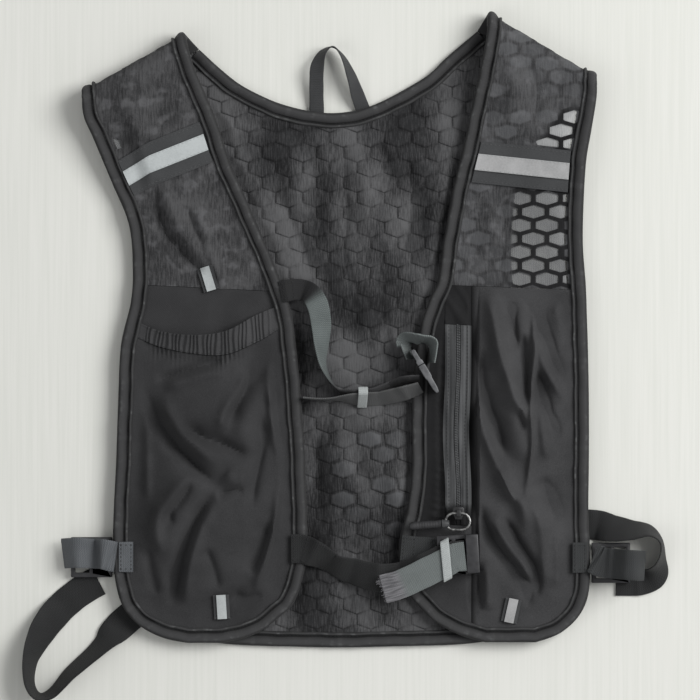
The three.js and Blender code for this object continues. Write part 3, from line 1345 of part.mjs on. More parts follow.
const rightSide = {
  frame: { x: 1.04, y: 0.871 },
  length: 27,
  lift: webbingWall + 4 * clearance,
  patch: [
    { x: 0.89, y: 0.862, tip: 0, rise: 0.03 },
    { x: 0.945, y: 0.862, tip: 0, rise: 0.03 },
  ],
  strap: [
    { x: 0.967, y: 0.862, tip: 0, rise: 0.03 },
    { x: 0.979, y: 0.864, tip: 0, rise: 0.05 },
    { x: 0.99, y: 0.867, tip: 0, rise: 0.2 },
    { x: 1.015, y: 0.87, tip: 0, rise: 0.1 },
    { x: 1.05, y: 0.871, tip: 0, rise: 0.2 },
    { x: 1.09, y: 0.872, tip: 0, rise: 0.7 },
    { x: 1.13, y: 0.873, tip: 0, rise: 0.6 },
    { x: 1.165, y: 0.874, tip: 0, rise: 0.05 },
  ],
  back: [
    { x: 0.9075, y: 0.81, tip: 0, rise: 0.02 },
    { x: 0.98, y: 0.811, tip: 0, rise: 0.02 },
    { x: 1.04, y: 0.816, tip: -28, rise: 0.02 },
    { x: 1.115, y: 0.819, tip: -50, rise: 0.02 },
    { x: 1.19, y: 0.82, tip: -70, rise: 0.02 },
    { x: 1.235, y: 0.838, tip: -82, rise: 0.02 },
    { x: 1.235, y: 0.868, tip: -70, rise: 0.02 },
    { x: 1.21, y: 0.889, tip: -35, rise: 0.02 },
    { x: 1.165, y: 0.898, tip: 0, rise: 0.02 },
    { x: 1.12, y: 0.9, tip: 0, rise: 0.02 },
    { x: 1.06, y: 0.9, tip: 0, rise: 0.02 },
  ],
};
sideSet("left", leftSide);
sideSet("right", rightSide);

// Hanging loop at the neck

const loopFoot = (share) => {
  const x = across(share);
  const t = steps(200).reduce((best, s) => (Math.abs(neckCurve.getPoint(s).x - x) <
    Math.abs(neckCurve.getPoint(best).x - x) ? s : best));
  return (vestLength / 2 - (neckCurve.getPoint(t).y + bindingWall + 7 * clearance)) / vestLength;
};
const loopRows = [
  { x: -0.102, y: loopFoot(-0.102), tip: 0, rise: 0.12 },
  { x: -0.103, y: 0.115, tip: 0, rise: 0.6 },
  { x: -0.1, y: 0.085, tip: -20, rise: 0.8 },
  { x: -0.08, y: 0.062, tip: -60, rise: 0.5 },
  { x: -0.039, y: 0.052, tip: -90, rise: 0.4 },
  { x: 0.0, y: 0.068, tip: -75, rise: 0.5 },
  { x: 0.032, y: 0.098, tip: -50, rise: 0.6 },
  { x: 0.055, y: 0.126, tip: -25, rise: 0.4 },
  { x: 0.078, y: loopFoot(0.078), tip: 0, rise: 0.12 },
];
const loopStations = strapStations(loopRows, loopTape, tapeWall, 22, () => 0);
addStrap("hanging_loop", loopStations, loopTape, tapeWall, darkWebbing);

export default vest;
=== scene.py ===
import math

import bmesh
import bpy
import numpy as np
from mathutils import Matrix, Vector


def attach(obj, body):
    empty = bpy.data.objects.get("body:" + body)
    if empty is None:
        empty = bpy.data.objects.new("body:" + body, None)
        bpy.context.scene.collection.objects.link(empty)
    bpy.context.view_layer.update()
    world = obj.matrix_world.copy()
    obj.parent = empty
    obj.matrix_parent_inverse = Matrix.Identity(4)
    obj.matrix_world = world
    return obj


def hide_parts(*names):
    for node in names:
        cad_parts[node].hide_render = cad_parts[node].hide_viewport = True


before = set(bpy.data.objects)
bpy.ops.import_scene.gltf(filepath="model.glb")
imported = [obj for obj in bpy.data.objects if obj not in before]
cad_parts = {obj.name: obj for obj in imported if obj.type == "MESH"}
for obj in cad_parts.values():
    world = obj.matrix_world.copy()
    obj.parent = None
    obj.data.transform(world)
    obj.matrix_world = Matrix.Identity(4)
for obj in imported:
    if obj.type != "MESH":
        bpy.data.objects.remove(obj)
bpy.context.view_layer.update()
scene = bpy.context.scene
print("frame loaded with", len(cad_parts), "nodes")

mm = 0.001  # everything below is worked out in millimetres

vest = {
    "length": 440,
    "halfWidth": 180,
    "clearance": 0.3,
    "backWall": 3.2,
    "backEdge": 2.2,
    "frontWall": 2.4,
    "pocketWall": 1.0,
    "foldRadius": 8.5,
    "foldFlap": 5,
    "settle": 125,
    "bindingWidth": 9,
    "bindingWall": 1.0,
    "tapeWall": 1.0,
    "drape": 0.45,
    "meshPitch": 19,
    "meshRow": 9.4,
    "meshWeb": 3,
}
gap = vest["clearance"]
layerRise = vest["bindingWall"] + gap
bindingCrown = vest["bindingWall"] * 1.4
backEdgeMiddle = layerRise + vest["backEdge"] / 2
backBindingTop = layerRise + vest["backEdge"] + gap + bindingCrown
flapMiddle = bindingCrown + gap + vest["frontWall"] / 2
foldTop = flapMiddle + 2 * vest["foldRadius"]
frontRest = backBindingTop + gap + layerRise + vest["frontWall"] / 2
lipInside = vest["bindingWidth"] + 2 * gap


# the camera

camera = {"height": 3.5, "centreX": 4.9, "centreY": -14.5, "across": 0.49, "sensor": 36}
cameraData = bpy.data.cameras.new("camera")
cameraData.sensor_width = camera["sensor"]
cameraData.lens = camera["sensor"] * camera["height"] / camera["across"]
cameraObject = bpy.data.objects.new("camera", cameraData)
cameraObject.location = (camera["centreX"] * mm, camera["centreY"] * mm, camera["height"])
scene.collection.objects.link(cameraObject)
scene.camera = cameraObject


# small helpers


def smooth(t):
    t = np.clip(t, 0, 1)
    return t * t * (3 - 2 * t)


def mix(a, b, t):
    return a + (b - a) * t


def spot(x, y):  # a place given by shares of the half width and of the length
    return np.array([x * vest["halfWidth"], along(y)])


def along(share):
    return vest["length"] / 2 - share * vest["length"]


def spots(rows):
    return np.array([spot(x, y) for x, y in rows])


def at(places, z):  # flat places with their heights
    return np.concatenate([places, np.asarray(z)[..., None]], axis=-1)


def unitSteps(n):
    return np.linspace(0, 1, n + 1)


def cubic(p0, p1, p2, p3, w):
    v0 = (p2 - p0) * 0.5
    v1 = (p3 - p1) * 0.5
    return (2 * p1 - 2 * p2 + v0 + v1) * w**3 + (-3 * p1 + 3 * p2 - 2 * v0 - v1) * w**2 + v0 * w + p1


def curveAt(points, t):  # a smooth curve through points, by share
    points = np.asarray(points, float)
    last = len(points) - 1
    t = np.clip(np.asarray(t, float), 0, 1) * last
    i = np.minimum(np.floor(t).astype(int), last)
    w = (t - i)[..., None]
    pick = lambda k: points[np.clip(k, 0, last)]
    return cubic(pick(i - 1), pick(i), pick(i + 1), pick(i + 2), w)


def routeAt(points, t):  # the same with free ends, for straps
    points = np.asarray(points, float)
    last = len(points) - 1
    padded = np.vstack([2 * points[0] - points[1], points, 2 * points[-1] - points[-2]])
    t = np.asarray(t, float) * last
    i = np.minimum(np.floor(t).astype(int), last - 1)
    w = (t - i)[..., None]
    return cubic(padded[i], padded[i + 1], padded[i + 2], padded[i + 3], w)


def routeTangent(points, t):
    d = 1e-3
    way = routeAt(points, np.clip(t + d, 0, 1)) - routeAt(points, np.clip(t - d, 0, 1))
    return way / np.linalg.norm(way, axis=-1, keepdims=True)


def unit(v):
    return v / np.maximum(np.linalg.norm(v, axis=-1, keepdims=True), 1e-9)


def facing(ways, goals):  # turned round where they point away from their goals
    return np.where((np.einsum("ij,ij->i", ways, goals) < 0)[:, None], -ways, ways)


def squareTo(ways, sides):  # the sides made square to the ways
    return unit(sides - ways * np.einsum("ij,ij->i", sides, ways)[:, None])


def depthInside(outline, places):  # distance to an outline, negative outside it
    places = np.asarray(places, float)
    flat = places.reshape(-1, 2)
    nearest = np.full(len(flat), 1e9)
    inside = np.zeros(len(flat), bool)
    for a, b in zip(outline, np.roll(outline, -1, axis=0)):
        edge = b - a
        share = np.clip(((flat - a) @ edge) / max(edge @ edge, 1e-9), 0, 1)
        nearest = np.minimum(nearest, np.linalg.norm(flat - a - share[:, None] * edge, axis=1))
        crosses = (a[1] > flat[:, 1]) != (b[1] > flat[:, 1])
        if a[1] != b[1]:
            inside ^= crosses & (flat[:, 0] < a[0] + (flat[:, 1] - a[1]) / (b[1] - a[1]) * (b[0] - a[0]))
    return np.where(inside, nearest, -nearest).reshape(places.shape[:-1])


def ripple(x, y, size, seed):  # soft uneven wave between -1 and 1
    random = np.random.default_rng(seed)
    total = np.zeros(np.broadcast(x, y).shape)
    for k in range(7):
        angle = random.uniform(0, math.pi)
        phase = random.uniform(0, 2 * math.pi)
        length = size * random.uniform(0.6, 1.7)
        total = total + np.sin(2 * math.pi * (x * math.cos(angle) + y * math.sin(angle)) / length + phase)
    return total / 4


def hexCell(x, y, row=1.0):  # distance from the nearest cord of the mesh, and the place inside the cell
    rootThree = math.sqrt(3)
    px = x / vest["meshPitch"] * rootThree
    py = (y - along(0.1)) / (vest["meshRow"] * row) * 1.5
    ax = np.mod(px + rootThree / 2, rootThree) - rootThree / 2
    ay = np.mod(py + 1.5, 3) - 1.5
    bx = np.mod(px, rootThree) - rootThree / 2
    by = np.mod(py, 3) - 1.5
    first = ax**2 + ay**2 < bx**2 + by**2
    gx = np.where(first, ax, bx)
    gy = np.where(first, ay, by)
    edge = rootThree / 2 - np.maximum(np.abs(gx), np.abs(gx) * 0.5 + np.abs(gy) * rootThree / 2)
    return edge, gx, gy


frameMarks = {"middle": 343, "top": 15, "scale": 0.7}


def framePlace(px, py):  # a place of the picture's frame in millimetres
    return np.array([
        (px - frameMarks["middle"]) * frameMarks["scale"],
        vest["length"] / 2 - (py - frameMarks["top"]) * frameMarks["scale"],
    ])  # fmt: skip


def foldLines(places, lines):  # folds, valleys sharper than ridges: height, half width, lean, places along it
    flat = places.reshape(-1, 2)
    relief = np.zeros(len(flat))
    for height, width, lean, marks in lines:
        marks = np.array([framePlace(*mark) for mark in marks])
        points = routeAt(marks, np.linspace(0, 1, 4 * (len(marks) - 1) + 1)) if len(marks) > 2 else marks
        run = lengths(points)
        best = np.full(len(flat), 1e9)
        share, side = np.zeros(len(flat)), np.zeros(len(flat))
        for a, b, start, step in zip(points[:-1], points[1:], run[:-1], np.diff(run)):
            edge = b - a
            t = np.clip(((flat - a) @ edge) / (edge @ edge), 0, 1)
            off = flat - a - t[:, None] * edge
            apart = np.linalg.norm(off, axis=1)
            nearer = apart < best
            best = np.where(nearer, apart, best)
            share = np.where(nearer, (start + t * step) / run[-1], share)
            side = np.where(nearer, np.sign(edge[0] * off[:, 1] - edge[1] * off[:, 0]), side)
        best = np.sqrt(best**2 + 0.6) - 0.77
        taper = smooth(share / 0.22) * smooth((1 - share) / 0.22)
        if height < 0 and lean == 0:
            lean = -0.25
        uneven = 1 + 0.16 * ripple(flat[:, 0], flat[:, 1], 16, len(marks))
        power = 1.15 if height < 0 else 1.6
        relief += height * taper * np.exp(-((best / (width * (1 + lean * side) * uneven)) ** power))
    return relief.reshape(places.shape[:-1])


# making meshes


def makePiece(name, points, faces, material, uv=None, sharp=40):
    mesh = bpy.data.meshes.new(name)
    points = np.maximum(np.asarray(points, float), [-1e9, -1e9, 0])  # nothing dips under the floor
    mesh.from_pydata((points * mm).tolist(), [], [list(map(int, f)) for f in faces])
    if uv is not None:
        index = np.empty(len(mesh.loops), np.int32)
        mesh.loops.foreach_get("vertex_index", index)
        layer = mesh.uv_layers.new(name="UVMap")
        layer.data.foreach_set("uv", (np.asarray(uv)[index] * mm).astype(np.float32).ravel())
    mesh.materials.append(material)
    mesh.validate()
    mesh.shade_smooth()
    mesh.set_sharp_from_angle(angle=math.radians(sharp))
    piece = bpy.data.objects.new(name, mesh)
    scene.collection.objects.link(piece)
    return piece


def settle(piece, *nodes, slot=None, body="vest"):  # what it rides on and what it replaces; slot is not used
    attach(piece, body)
    if nodes:
        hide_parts(*nodes)
    return piece


def quadVolume(points, quads):
    a, b, c, d = (points[quads[:, k]] for k in range(4))
    return np.einsum("ij,ij->", a, np.cross(b, c)) + np.einsum("ij,ij->", a, np.cross(c, d))


def sheetPiece(name, lower, upper, material, sharp=40):  # two grids of points closed into a sheet
    rows, columns = lower.shape[:2]
    points = np.concatenate([lower.reshape(-1, 3), upper.reshape(-1, 3)])
    under = np.arange(rows * columns).reshape(rows, columns)
    over = under + rows * columns
    quads = []

    def add(a, b, c, d):
        quads.append(np.stack([a.ravel(), b.ravel(), c.ravel(), d.ravel()], axis=1))

    add(over[:-1, :-1], over[:-1, 1:], over[1:, 1:], over[1:, :-1])
    add(under[:-1, :-1], under[1:, :-1], under[1:, 1:], under[:-1, 1:])
    add(under[:-1, 0], over[:-1, 0], over[1:, 0], under[1:, 0])
    add(under[:-1, -1], under[1:, -1], over[1:, -1], over[:-1, -1])
    add(under[0, :-1], under[0, 1:], over[0, 1:], over[0, :-1])
    add(under[-1, :-1], over[-1, :-1], over[-1, 1:], under[-1, 1:])
    quads = np.concatenate(quads)
    if quadVolume(points, quads) < 0:
        quads = quads[:, ::-1]
    return makePiece(name, points, quads, material, sharp=sharp)


def gridNormals(grid):
    down = np.gradient(grid, axis=0)
    across = np.gradient(grid, axis=1)
    return unit(np.cross(across, down))


def facingUp(grid):  # normals of a grid, on its upper side at the middle of the front
    normals = gridNormals(grid)
    return -normals if normals[-3, normals.shape[1] // 2, 2] < 0 else normals


def walled(grid, wall):  # the two sides of a wall along the normals of a grid
    half = gridNormals(grid) * wall / 2
    return grid - half, grid + half


def upright(grid, wall):  # the same, straight up and down
    half = np.array([0, 0, wall / 2])
    return grid - half, grid + half


def clothPiece(name, grid, wall, material, nodes, slot="pocket_cloth"):  # cloth of even wall over a grid
    return settle(sheetPiece(name, *upright(grid, wall), finishes[material]), *nodes, slot=slot)


def sweepPiece(name, rings, material, uv=None, closed=False, sharp=50):  # rings of points joined into a skin
    count, size = rings.shape[:2]
    points = rings.reshape(-1, 3)
    index = np.arange(count * size).reshape(count, size)
    nextRing = np.roll(index, -1, axis=0) if closed else index[1:]
    here = index if closed else index[:-1]
    quads = np.stack(
        [here, np.roll(here, -1, axis=1), np.roll(nextRing, -1, axis=1), nextRing], axis=-1
    ).reshape(-1, 4)
    caps = [] if closed else [index[0][::-1].tolist(), index[-1].tolist()]
    if quadVolume(points - points.mean(axis=0), quads) < 0:
        quads = quads[:, ::-1]
        caps = [c[::-1] for c in caps]
    return makePiece(name, points, quads.tolist() + caps, material, uv, sharp)


def lengths(points):  # distance run along a line of points
    steps = np.linalg.norm(np.diff(points, axis=0), axis=1)
    return np.concatenate([[0], np.cumsum(steps)])


def baked(piece):  # modifiers applied to the mesh
    bpy.context.view_layer.update()
    ready = piece.evaluated_get(bpy.context.evaluated_depsgraph_get())
    result = bpy.data.meshes.new_from_object(ready)
    old = piece.data
    piece.modifiers.clear()
    piece.data = result
    bpy.data.meshes.remove(old)
    result.name = piece.name


stitchRuns = []  # filled by each piece, made at the end


def sewn(kind, line, lift):  # a row of stitches just above a line
    stitchRuns.append((kind, line + [0, 0, lift], (0, 0, 1)))


# shader maths: a socket that can be used in sums


class Flow:
    def __init__(self, maker, socket):
        self.maker = maker
        self.socket = socket

    def sum(self, operation, *others):
        return self.maker.node("ShaderNodeMath", {"operation": operation}, [self, *others])

    def __add__(self, other):
        return self.sum("ADD", other)

    __radd__ = __add__

    def __sub__(self, other):
        return self.sum("SUBTRACT", other)

    def __rsub__(self, other):
        return self.maker.node("ShaderNodeMath", {"operation": "SUBTRACT"}, [other, self])

    def __mul__(self, other):
        return self.sum("MULTIPLY", other)

    __rmul__ = __mul__

    def __truediv__(self, other):
        return self.sum("DIVIDE", other)

    def __abs__(self):
        return self.sum("ABSOLUTE")

    def wave(self):
        return self.sum("SINE")

    def most(self, other):
        return self.sum("MAXIMUM", other)

    def wrapped(self, size):  # from 0 to size
        return self.sum("FLOORED_MODULO", size)

    def between(self, low, high):  # 0 below low, 1 above high
        sockets = {"Value": self, "From Min": low, "From Max": high}
        return self.maker.node("ShaderNodeMapRange", {"interpolation_type": "SMOOTHSTEP"}, sockets)

    def parts(self):  # its first two
        split = self.maker.node("ShaderNodeSeparateXYZ", {}, [self], whole=True)
        return [Flow(self.maker, split.outputs[k]) for k in range(2)]


class Finish:  # one material while its nodes are made
    def __init__(self, name):
        self.material = bpy.data.materials.new(name)
        self.material.use_nodes = True
        self.tree = self.material.node_tree
        self.tree.nodes.clear()
        self.output = self.tree.nodes.new("ShaderNodeOutputMaterial")
        self.shader = self.tree.nodes.new("ShaderNodeBsdfPrincipled")
        self.tree.links.new(self.shader.outputs[0], self.output.inputs["Surface"])
        where = self.tree.nodes.new("ShaderNodeTexCoord")
        self.place = Flow(self, where.outputs["Object"])
        self.run = Flow(self, where.outputs["UV"])

    def feed(self, socket, value):
        if isinstance(value, Flow):
            self.tree.links.new(value.socket, socket)
        elif isinstance(value, (tuple, list)) and len(value) == 3 and socket.type == "RGBA":
            socket.default_value = (*value, 1)
        else:
            socket.default_value = value

    def node(self, kind, settings, sockets, out=0, whole=False):
        made = self.tree.nodes.new(kind)
        for key, value in settings.items():
            setattr(made, key, value)
        pairs = sockets.items() if isinstance(sockets, dict) else enumerate(sockets)
        for key, value in pairs:
            self.feed(made.inputs[key], value)
        return made if whole else Flow(self, made.outputs[out])

    def scaled(self, vector, x, y, z):
        return self.node("ShaderNodeVectorMath", {"operation": "MULTIPLY"}, [vector, (x, y, z)])

    def noise(self, vector, scale, detail):
        sockets = {"Vector": vector, "Scale": scale, "Detail": detail}
        return self.node("ShaderNodeTexNoise", {}, sockets)

    def drawn(self, x, y, z, detail=2):  # noise of three scales over the place
        return self.noise(self.scaled(self.place, x, y, z), 1.0, detail)

    def blend(self, a, b, share):  # two colours
        return self.node("ShaderNodeMix", {"data_type": "RGBA"}, {"Factor": share, 6: a, 7: b}, out=2)

    def bump(self, height, depth, strength):
        return self.node("ShaderNodeBump", {}, {"Height": height, "Distance": depth, "Strength": strength})

    def done(self, **sockets):
        for key, value in sockets.items():
            self.feed(self.shader.inputs[key.replace("_", " ")], value)
        return self.material


def hexPlace(finish, row=1.0, drawn=0):  # the mesh's cells on Object coordinates, as in hexCell
    rootThree = math.sqrt(3)
    x, y = finish.place.parts()
    if drawn:  # the rows wander as the cloth is pulled
        x = x + (finish.noise(finish.place, 24, 1) - 0.5) * drawn
        y = y + (finish.noise(finish.place, 37, 1) - 0.5) * drawn
    px = x * (rootThree / (vest["meshPitch"] * mm))
    py = (y - along(0.1) * mm) * (1.5 / (vest["meshRow"] * row * mm))
    ax = (px + rootThree / 2).wrapped(rootThree) - rootThree / 2
    ay = (py + 1.5).wrapped(3) - 1.5
    bx = px.wrapped(rootThree) - rootThree / 2
    by = py.wrapped(3) - 1.5
    first = (ax * ax + ay * ay).sum("LESS_THAN", bx * bx + by * by)
    gx, gy = bx + (ax - bx) * first, by + (ay - by) * first
    edge = rootThree / 2 - abs(gx).most(abs(gx) * 0.5 + abs(gy) * (rootThree / 2))
    centre = finish.node("ShaderNodeCombineXYZ", {}, [px - gx, py - gy, 0.0])
    own = finish.noise(centre, 1.7, 0).between(0.36, 0.64)
    return edge, gx, gy, own


# fabrics and plastics


def shade(code):  # a screen colour as a linear one
    values = [int(code[i : i + 2], 16) / 255 for i in (0, 2, 4)]
    return tuple(v / 12.92 if v <= 0.04045 else ((v + 0.055) / 1.055) ** 2.4 for v in values)


def sine(value, pitch):  # a wave with a pitch in millimetres
    return (value * (2 * math.pi / (pitch * mm))).wave()


backRow = 1.12


def backFabric(name):  # padded mesh of the back: six-sided cells pressed into a fine vertical knit
    f = Finish(name)
    x, y = f.place.parts()
    edge, gx, gy, own = hexPlace(f, backRow)
    low = f.scaled(f.place, 1, 1, 0)
    grain = f.noise(low, 900, 2)
    streak = f.drawn(1150, 130, 0).between(0.34, 0.66)
    broad = f.noise(low, 26, 3)
    line = 1 - (edge + (grain - 0.5) * 0.1).between(0.02, 0.15)
    shaded = (gx * -0.7 - gy * 0.55).between(-0.3, 0.5)  # darker on the sides that face down and left
    broken = f.noise(low, 95, 2).between(0.36, 0.6)
    drape = f.drawn(24, 11, 0).between(0.34, 0.66)  # light and shade of the buckled mesh
    tone = (streak * 0.15 + grain * 0.17 + broad * 0.3 + drape * 0.38).between(0.24, 0.76)
    cloth = f.blend(shade("212122"), shade("5b5b5c"), tone)
    # cell interiors a little lighter at random, and painted light: a round patch of lighter cells low on the back,
    # right of the middle, where the back bulges up towards the lamp
    worn = 1 - ((x - 0.03) * (x - 0.03) + (y + 0.095) * (y + 0.095)).between(0.0003, 0.0026)
    cloth = f.blend(cloth, shade("626365"), own * (worn * 0.6 + 0.08) * edge.between(0.08, 0.3))
    cloth = f.blend(cloth, shade("141415"), line * (shaded * 0.75 + 0.08) * (broken * 0.65 + 0.35))
    threads = sine(x, 1.15) * 0.5 + 0.5
    height = edge.between(0.0, 0.22) * 0.7 + threads * 0.12 + streak * 0.11 + grain * 0.13
    return f.done(
        Base_Color=cloth, Roughness=0.92, Specular_IOR_Level=0.15, Sheen_Weight=0.05,
        Normal=f.bump(height, 0.0007, 0.8),
    )  # fmt: skip


def netFabric(name):  # what is seen through the open cells of the shoulders
    f = Finish(name)
    x, y = f.place.parts()
    *_, own = hexPlace(f)
    wander = (f.drawn(60, 60, 0) - 0.5) * 0.0022
    thread = 1 - abs(sine(x + wander, 2.6)).between(0.2, 0.6)
    uneven = f.drawn(300, 120, 0).between(0.35, 0.65)
    upper = (y + (x - 0.145) * 0.9).between(0.06, 0.14)
    lit = (upper * 0.75 + (x - y * 0.1).between(0.135, 0.152) * 0.35 + (own - 0.5) * 0.25).between(0.0, 1.0)
    veil = thread * 0.14 + uneven * 0.12 + 0.38
    colour = f.blend(shade("858687"), shade("d2d3d3"), lit)
    colour = f.blend(colour, shade("4c4c4d"), thread * uneven * 0.55)
    return f.done(Base_Color=colour, Roughness=0.9, Specular_IOR_Level=0.2, Alpha=veil)


def shoulderFabric(name):
    f = Finish(name)
    x, y = f.place.parts()
    edge, *_, own = hexPlace(f, 1.0, 0.004)
    grain = f.noise(f.place, 1100, 2)
    streak = f.drawn(900, 120, 120).between(0.34, 0.66)
    broad = f.noise(f.place, 42, 3)
    cloth = f.blend(shade("303031"), shade("505051"), (streak * 0.16 + grain * 0.22 + broad * 0.62).between(0.3, 0.7))
    inside = edge.between(0.05, 0.3) * x.between(0.0, 0.02)
    cloth = f.blend(cloth, shade("606163"), inside * (own * 0.45 + 0.08))
    blotch = f.noise(f.place, 105, 2).between(0.52, 0.7)
    cloth = f.blend(cloth, shade("6a6a6c"), blotch * 0.42)
    side = x - 0.118 - (y - 0.103).most(0) * 0.66
    open = side.between(-0.003, 0.004) * (1 - edge.between(0.16, 0.3)) * (0.16 - y).between(0.0, 0.01)
    cloth = f.blend(cloth, shade("1b1b1c"), open * 0.9)
    height = streak * 0.2 + grain * 0.6 + edge.between(0.0, 0.5) * x.between(0.0, 0.02) * 0.6
    return f.done(Base_Color=cloth, Roughness=0.93, Specular_IOR_Level=0.15, Normal=f.bump(height, 0.0006, 0.7))


def weaveHeight(u, v, pitch):  # a plain weave from two runs of thread
    return sine(u, pitch) * sine(v, pitch) * 0.5 + 0.5


def wovenFabric(name, dark, light, pitch=0.9, rough=0.85, sheen=0.05, depth=0.0002, spread=40, paintedShadeX=None):
    f = Finish(name)
    x, y = f.place.parts()
    fine = f.noise(f.place, 1500, 2)
    broad = f.noise(f.place, spread, 3)
    weave = weaveHeight(x, y, pitch)
    tone = (fine * 0.35 + broad * 0.45 + weave * 0.2).between(0.25, 0.75)
    colour = f.blend(shade(dark), shade(light), tone)
    if paintedShadeX:  # painted shade where the cloth turns down beside the zip
        colour = f.blend(shade("0e0e0f"), colour, x.between(paintedShadeX, paintedShadeX + 0.0055))
    return f.done(
        Base_Color=colour, Roughness=rough, Specular_IOR_Level=0.2, Sheen_Weight=sheen,
        Normal=f.bump(weave * 0.6 + fine * 0.6, depth, 0.7),
    )  # fmt: skip


def bindingFabric(name):  # elastic edge tape with a fine twill across it
    f = Finish(name)
    across, run = f.run.parts()
    fine = f.noise(f.place, 1700, 2)
    broad = f.noise(f.place, 60, 3)
    twill = sine(run + across * 0.55, 1.1) * 0.5 + 0.5
    ridge = 1 - abs(across - 0.0078).between(0.0003, 0.0011)
    rim = 1 - abs(across - 0.0006).between(0.0004, 0.0014)
    dip = 1 - abs(across - 0.006).between(0.0003, 0.0012)
    crown = 1 - abs(across - 0.0022).between(0.0, 0.0036)
    joins = (sine(run, 61.0) - 0.97).between(0.0, 0.03) * 0.16
    rubbed = f.noise(f.place, 210, 2).between(0.55, 0.75)
    tone = (fine * 0.35 + broad * 0.45 + twill * 0.2).between(0.2, 0.8)
    colour = f.blend(shade("252526"), shade("393939"), tone)
    # painted light: the crown of the tape is lighter across its middle, unevenly along it with rubbed wear
    colour = f.blend(colour, shade("535354"), crown * (rubbed * 0.25 + 0.35))
    # painted highlights on the raised ridge and the rim, uneven with rubbed wear, and pale marks at the joins
    pale = ((ridge + rim * 0.7) * (rubbed * 0.35 + 0.3) + joins).between(0.0, 1.0)
    colour = f.blend(colour, shade("606161"), pale)
    # painted shade in the dip between the crown and the ridge
    colour = f.blend(colour, shade("111112"), dip * 0.85)
    return f.done(
        Base_Color=colour, Roughness=0.88, Specular_IOR_Level=0.2, Sheen_Weight=0.05,
        Normal=f.bump(twill * 0.35 + fine * 0.5, 0.00018, 0.6),
    )  # fmt: skip


def tapeFabric(name):  # zip tape: lit ridges that run along it
    f = Finish(name)
    x, y = f.place.parts()
    fine = f.noise(f.place, 1300, 2)
    ridges = sine(x + (f.drawn(30, 12, 0, 1) - 0.5) * 0.002, 2.9) * 0.5 + 0.5
    broad = f.drawn(130, 14, 0)
    colour = f.blend(shade("363738"), shade("5f6061"), (ridges * 0.12 + broad * 0.7 + fine * 0.18).between(0.28, 0.7))
    # painted shade: the tape goes dark towards its lower end, where it sinks under the slider
    colour = f.blend(shade("1b1b1c"), colour, y.between(-0.131, -0.119))
    weave = f.bump(ridges * 0.5 + fine * 0.4, 0.0002, 0.5)
    return f.done(Base_Color=colour, Roughness=0.8, Specular_IOR_Level=0.25, Normal=weave)


def webbingFabric(name, dark, light, ribs, start=0, end=0, worn=0):  # woven strap: u across it, v along it
    f = Finish(name)
    across, run = f.run.parts()
    fine = f.noise(f.place, 1400, 2)
    broad = f.noise(f.place, 70, 2)
    ridge = sine(run, 1.25)
    chevron = sine(run + abs(sine(across, ribs)) * 0.0007, 1.25) * 0.5 + 0.5
    tone = (chevron * 0.35 + fine * 0.3 + broad * 0.35).between(0.2, 0.8)
    colour = f.blend(shade(dark), shade(light), tone)
    if start:  # its first stretch is black
        colour = f.blend(shade("1e1e1f"), colour, run.between((start - 4) * mm, (start + 4) * mm))
    if worn:  # greyer and rubbed at its cut end
        rubbed = f.noise(f.scaled(f.run, 900, 60, 0), 1.0, 2).between(0.3, 0.7)
        pale = f.blend(shade("58585a"), shade("8a898c"), rubbed)
        colour = f.blend(pale, colour, run.between((worn - 4) * mm, (worn + 3) * mm))
    if end:
        colour = f.blend(colour, shade("39393a"), run.between((end - 9) * mm, (end + 9) * mm))
    height = chevron * 0.7 + fine * 0.3 + ridge * 0.1
    return f.done(
        Base_Color=colour, Roughness=0.75, Specular_IOR_Level=0.3, Sheen_Weight=0.05,
        Normal=f.bump(height, 0.0003, 0.8),
    )  # fmt: skip


def silverFabric(name, dark, light):  # reflective tape: a faint dotted grid under a soft gloss
    f = Finish(name)
    x, y = f.place.parts()
    fine = f.noise(f.place, 900, 3)
    broad = f.noise(f.place, 90, 3)
    grid = weaveHeight(x, y, 1.0)
    colour = f.blend(shade(dark), shade(light), (broad * 0.6 + fine * 0.4).between(0.3, 0.7))
    weave = f.bump(grid * 0.3 + broad * 0.7, 0.0002, 0.6)
    return f.done(Base_Color=colour, Roughness=fine * 0.15 + 0.4, Metallic=0.15, Normal=weave)


def mouldedPlastic(name, dark, light, rough=0.42):
    f = Finish(name)
    grain = f.noise(f.place, 2600, 3)
    worn = f.noise(f.place, 190, 3)
    colour = f.blend(shade(dark), shade(light), (worn * 0.7 + grain * 0.3).between(0.35, 0.7))
    gloss = worn * 0.2 + (rough - 0.1)
    return f.done(Base_Color=colour, Roughness=gloss, Normal=f.bump(grain, 0.00008, 0.5))


def wireFinish(name):
    f = Finish(name)
    worn = f.noise(f.place, 500, 3)
    colour = f.blend(shade("6b6b6b"), shade("b0b0ae"), worn.between(0.35, 0.7))
    return f.done(Base_Color=colour, Roughness=worn * 0.2 + 0.25, Metallic=0.85)


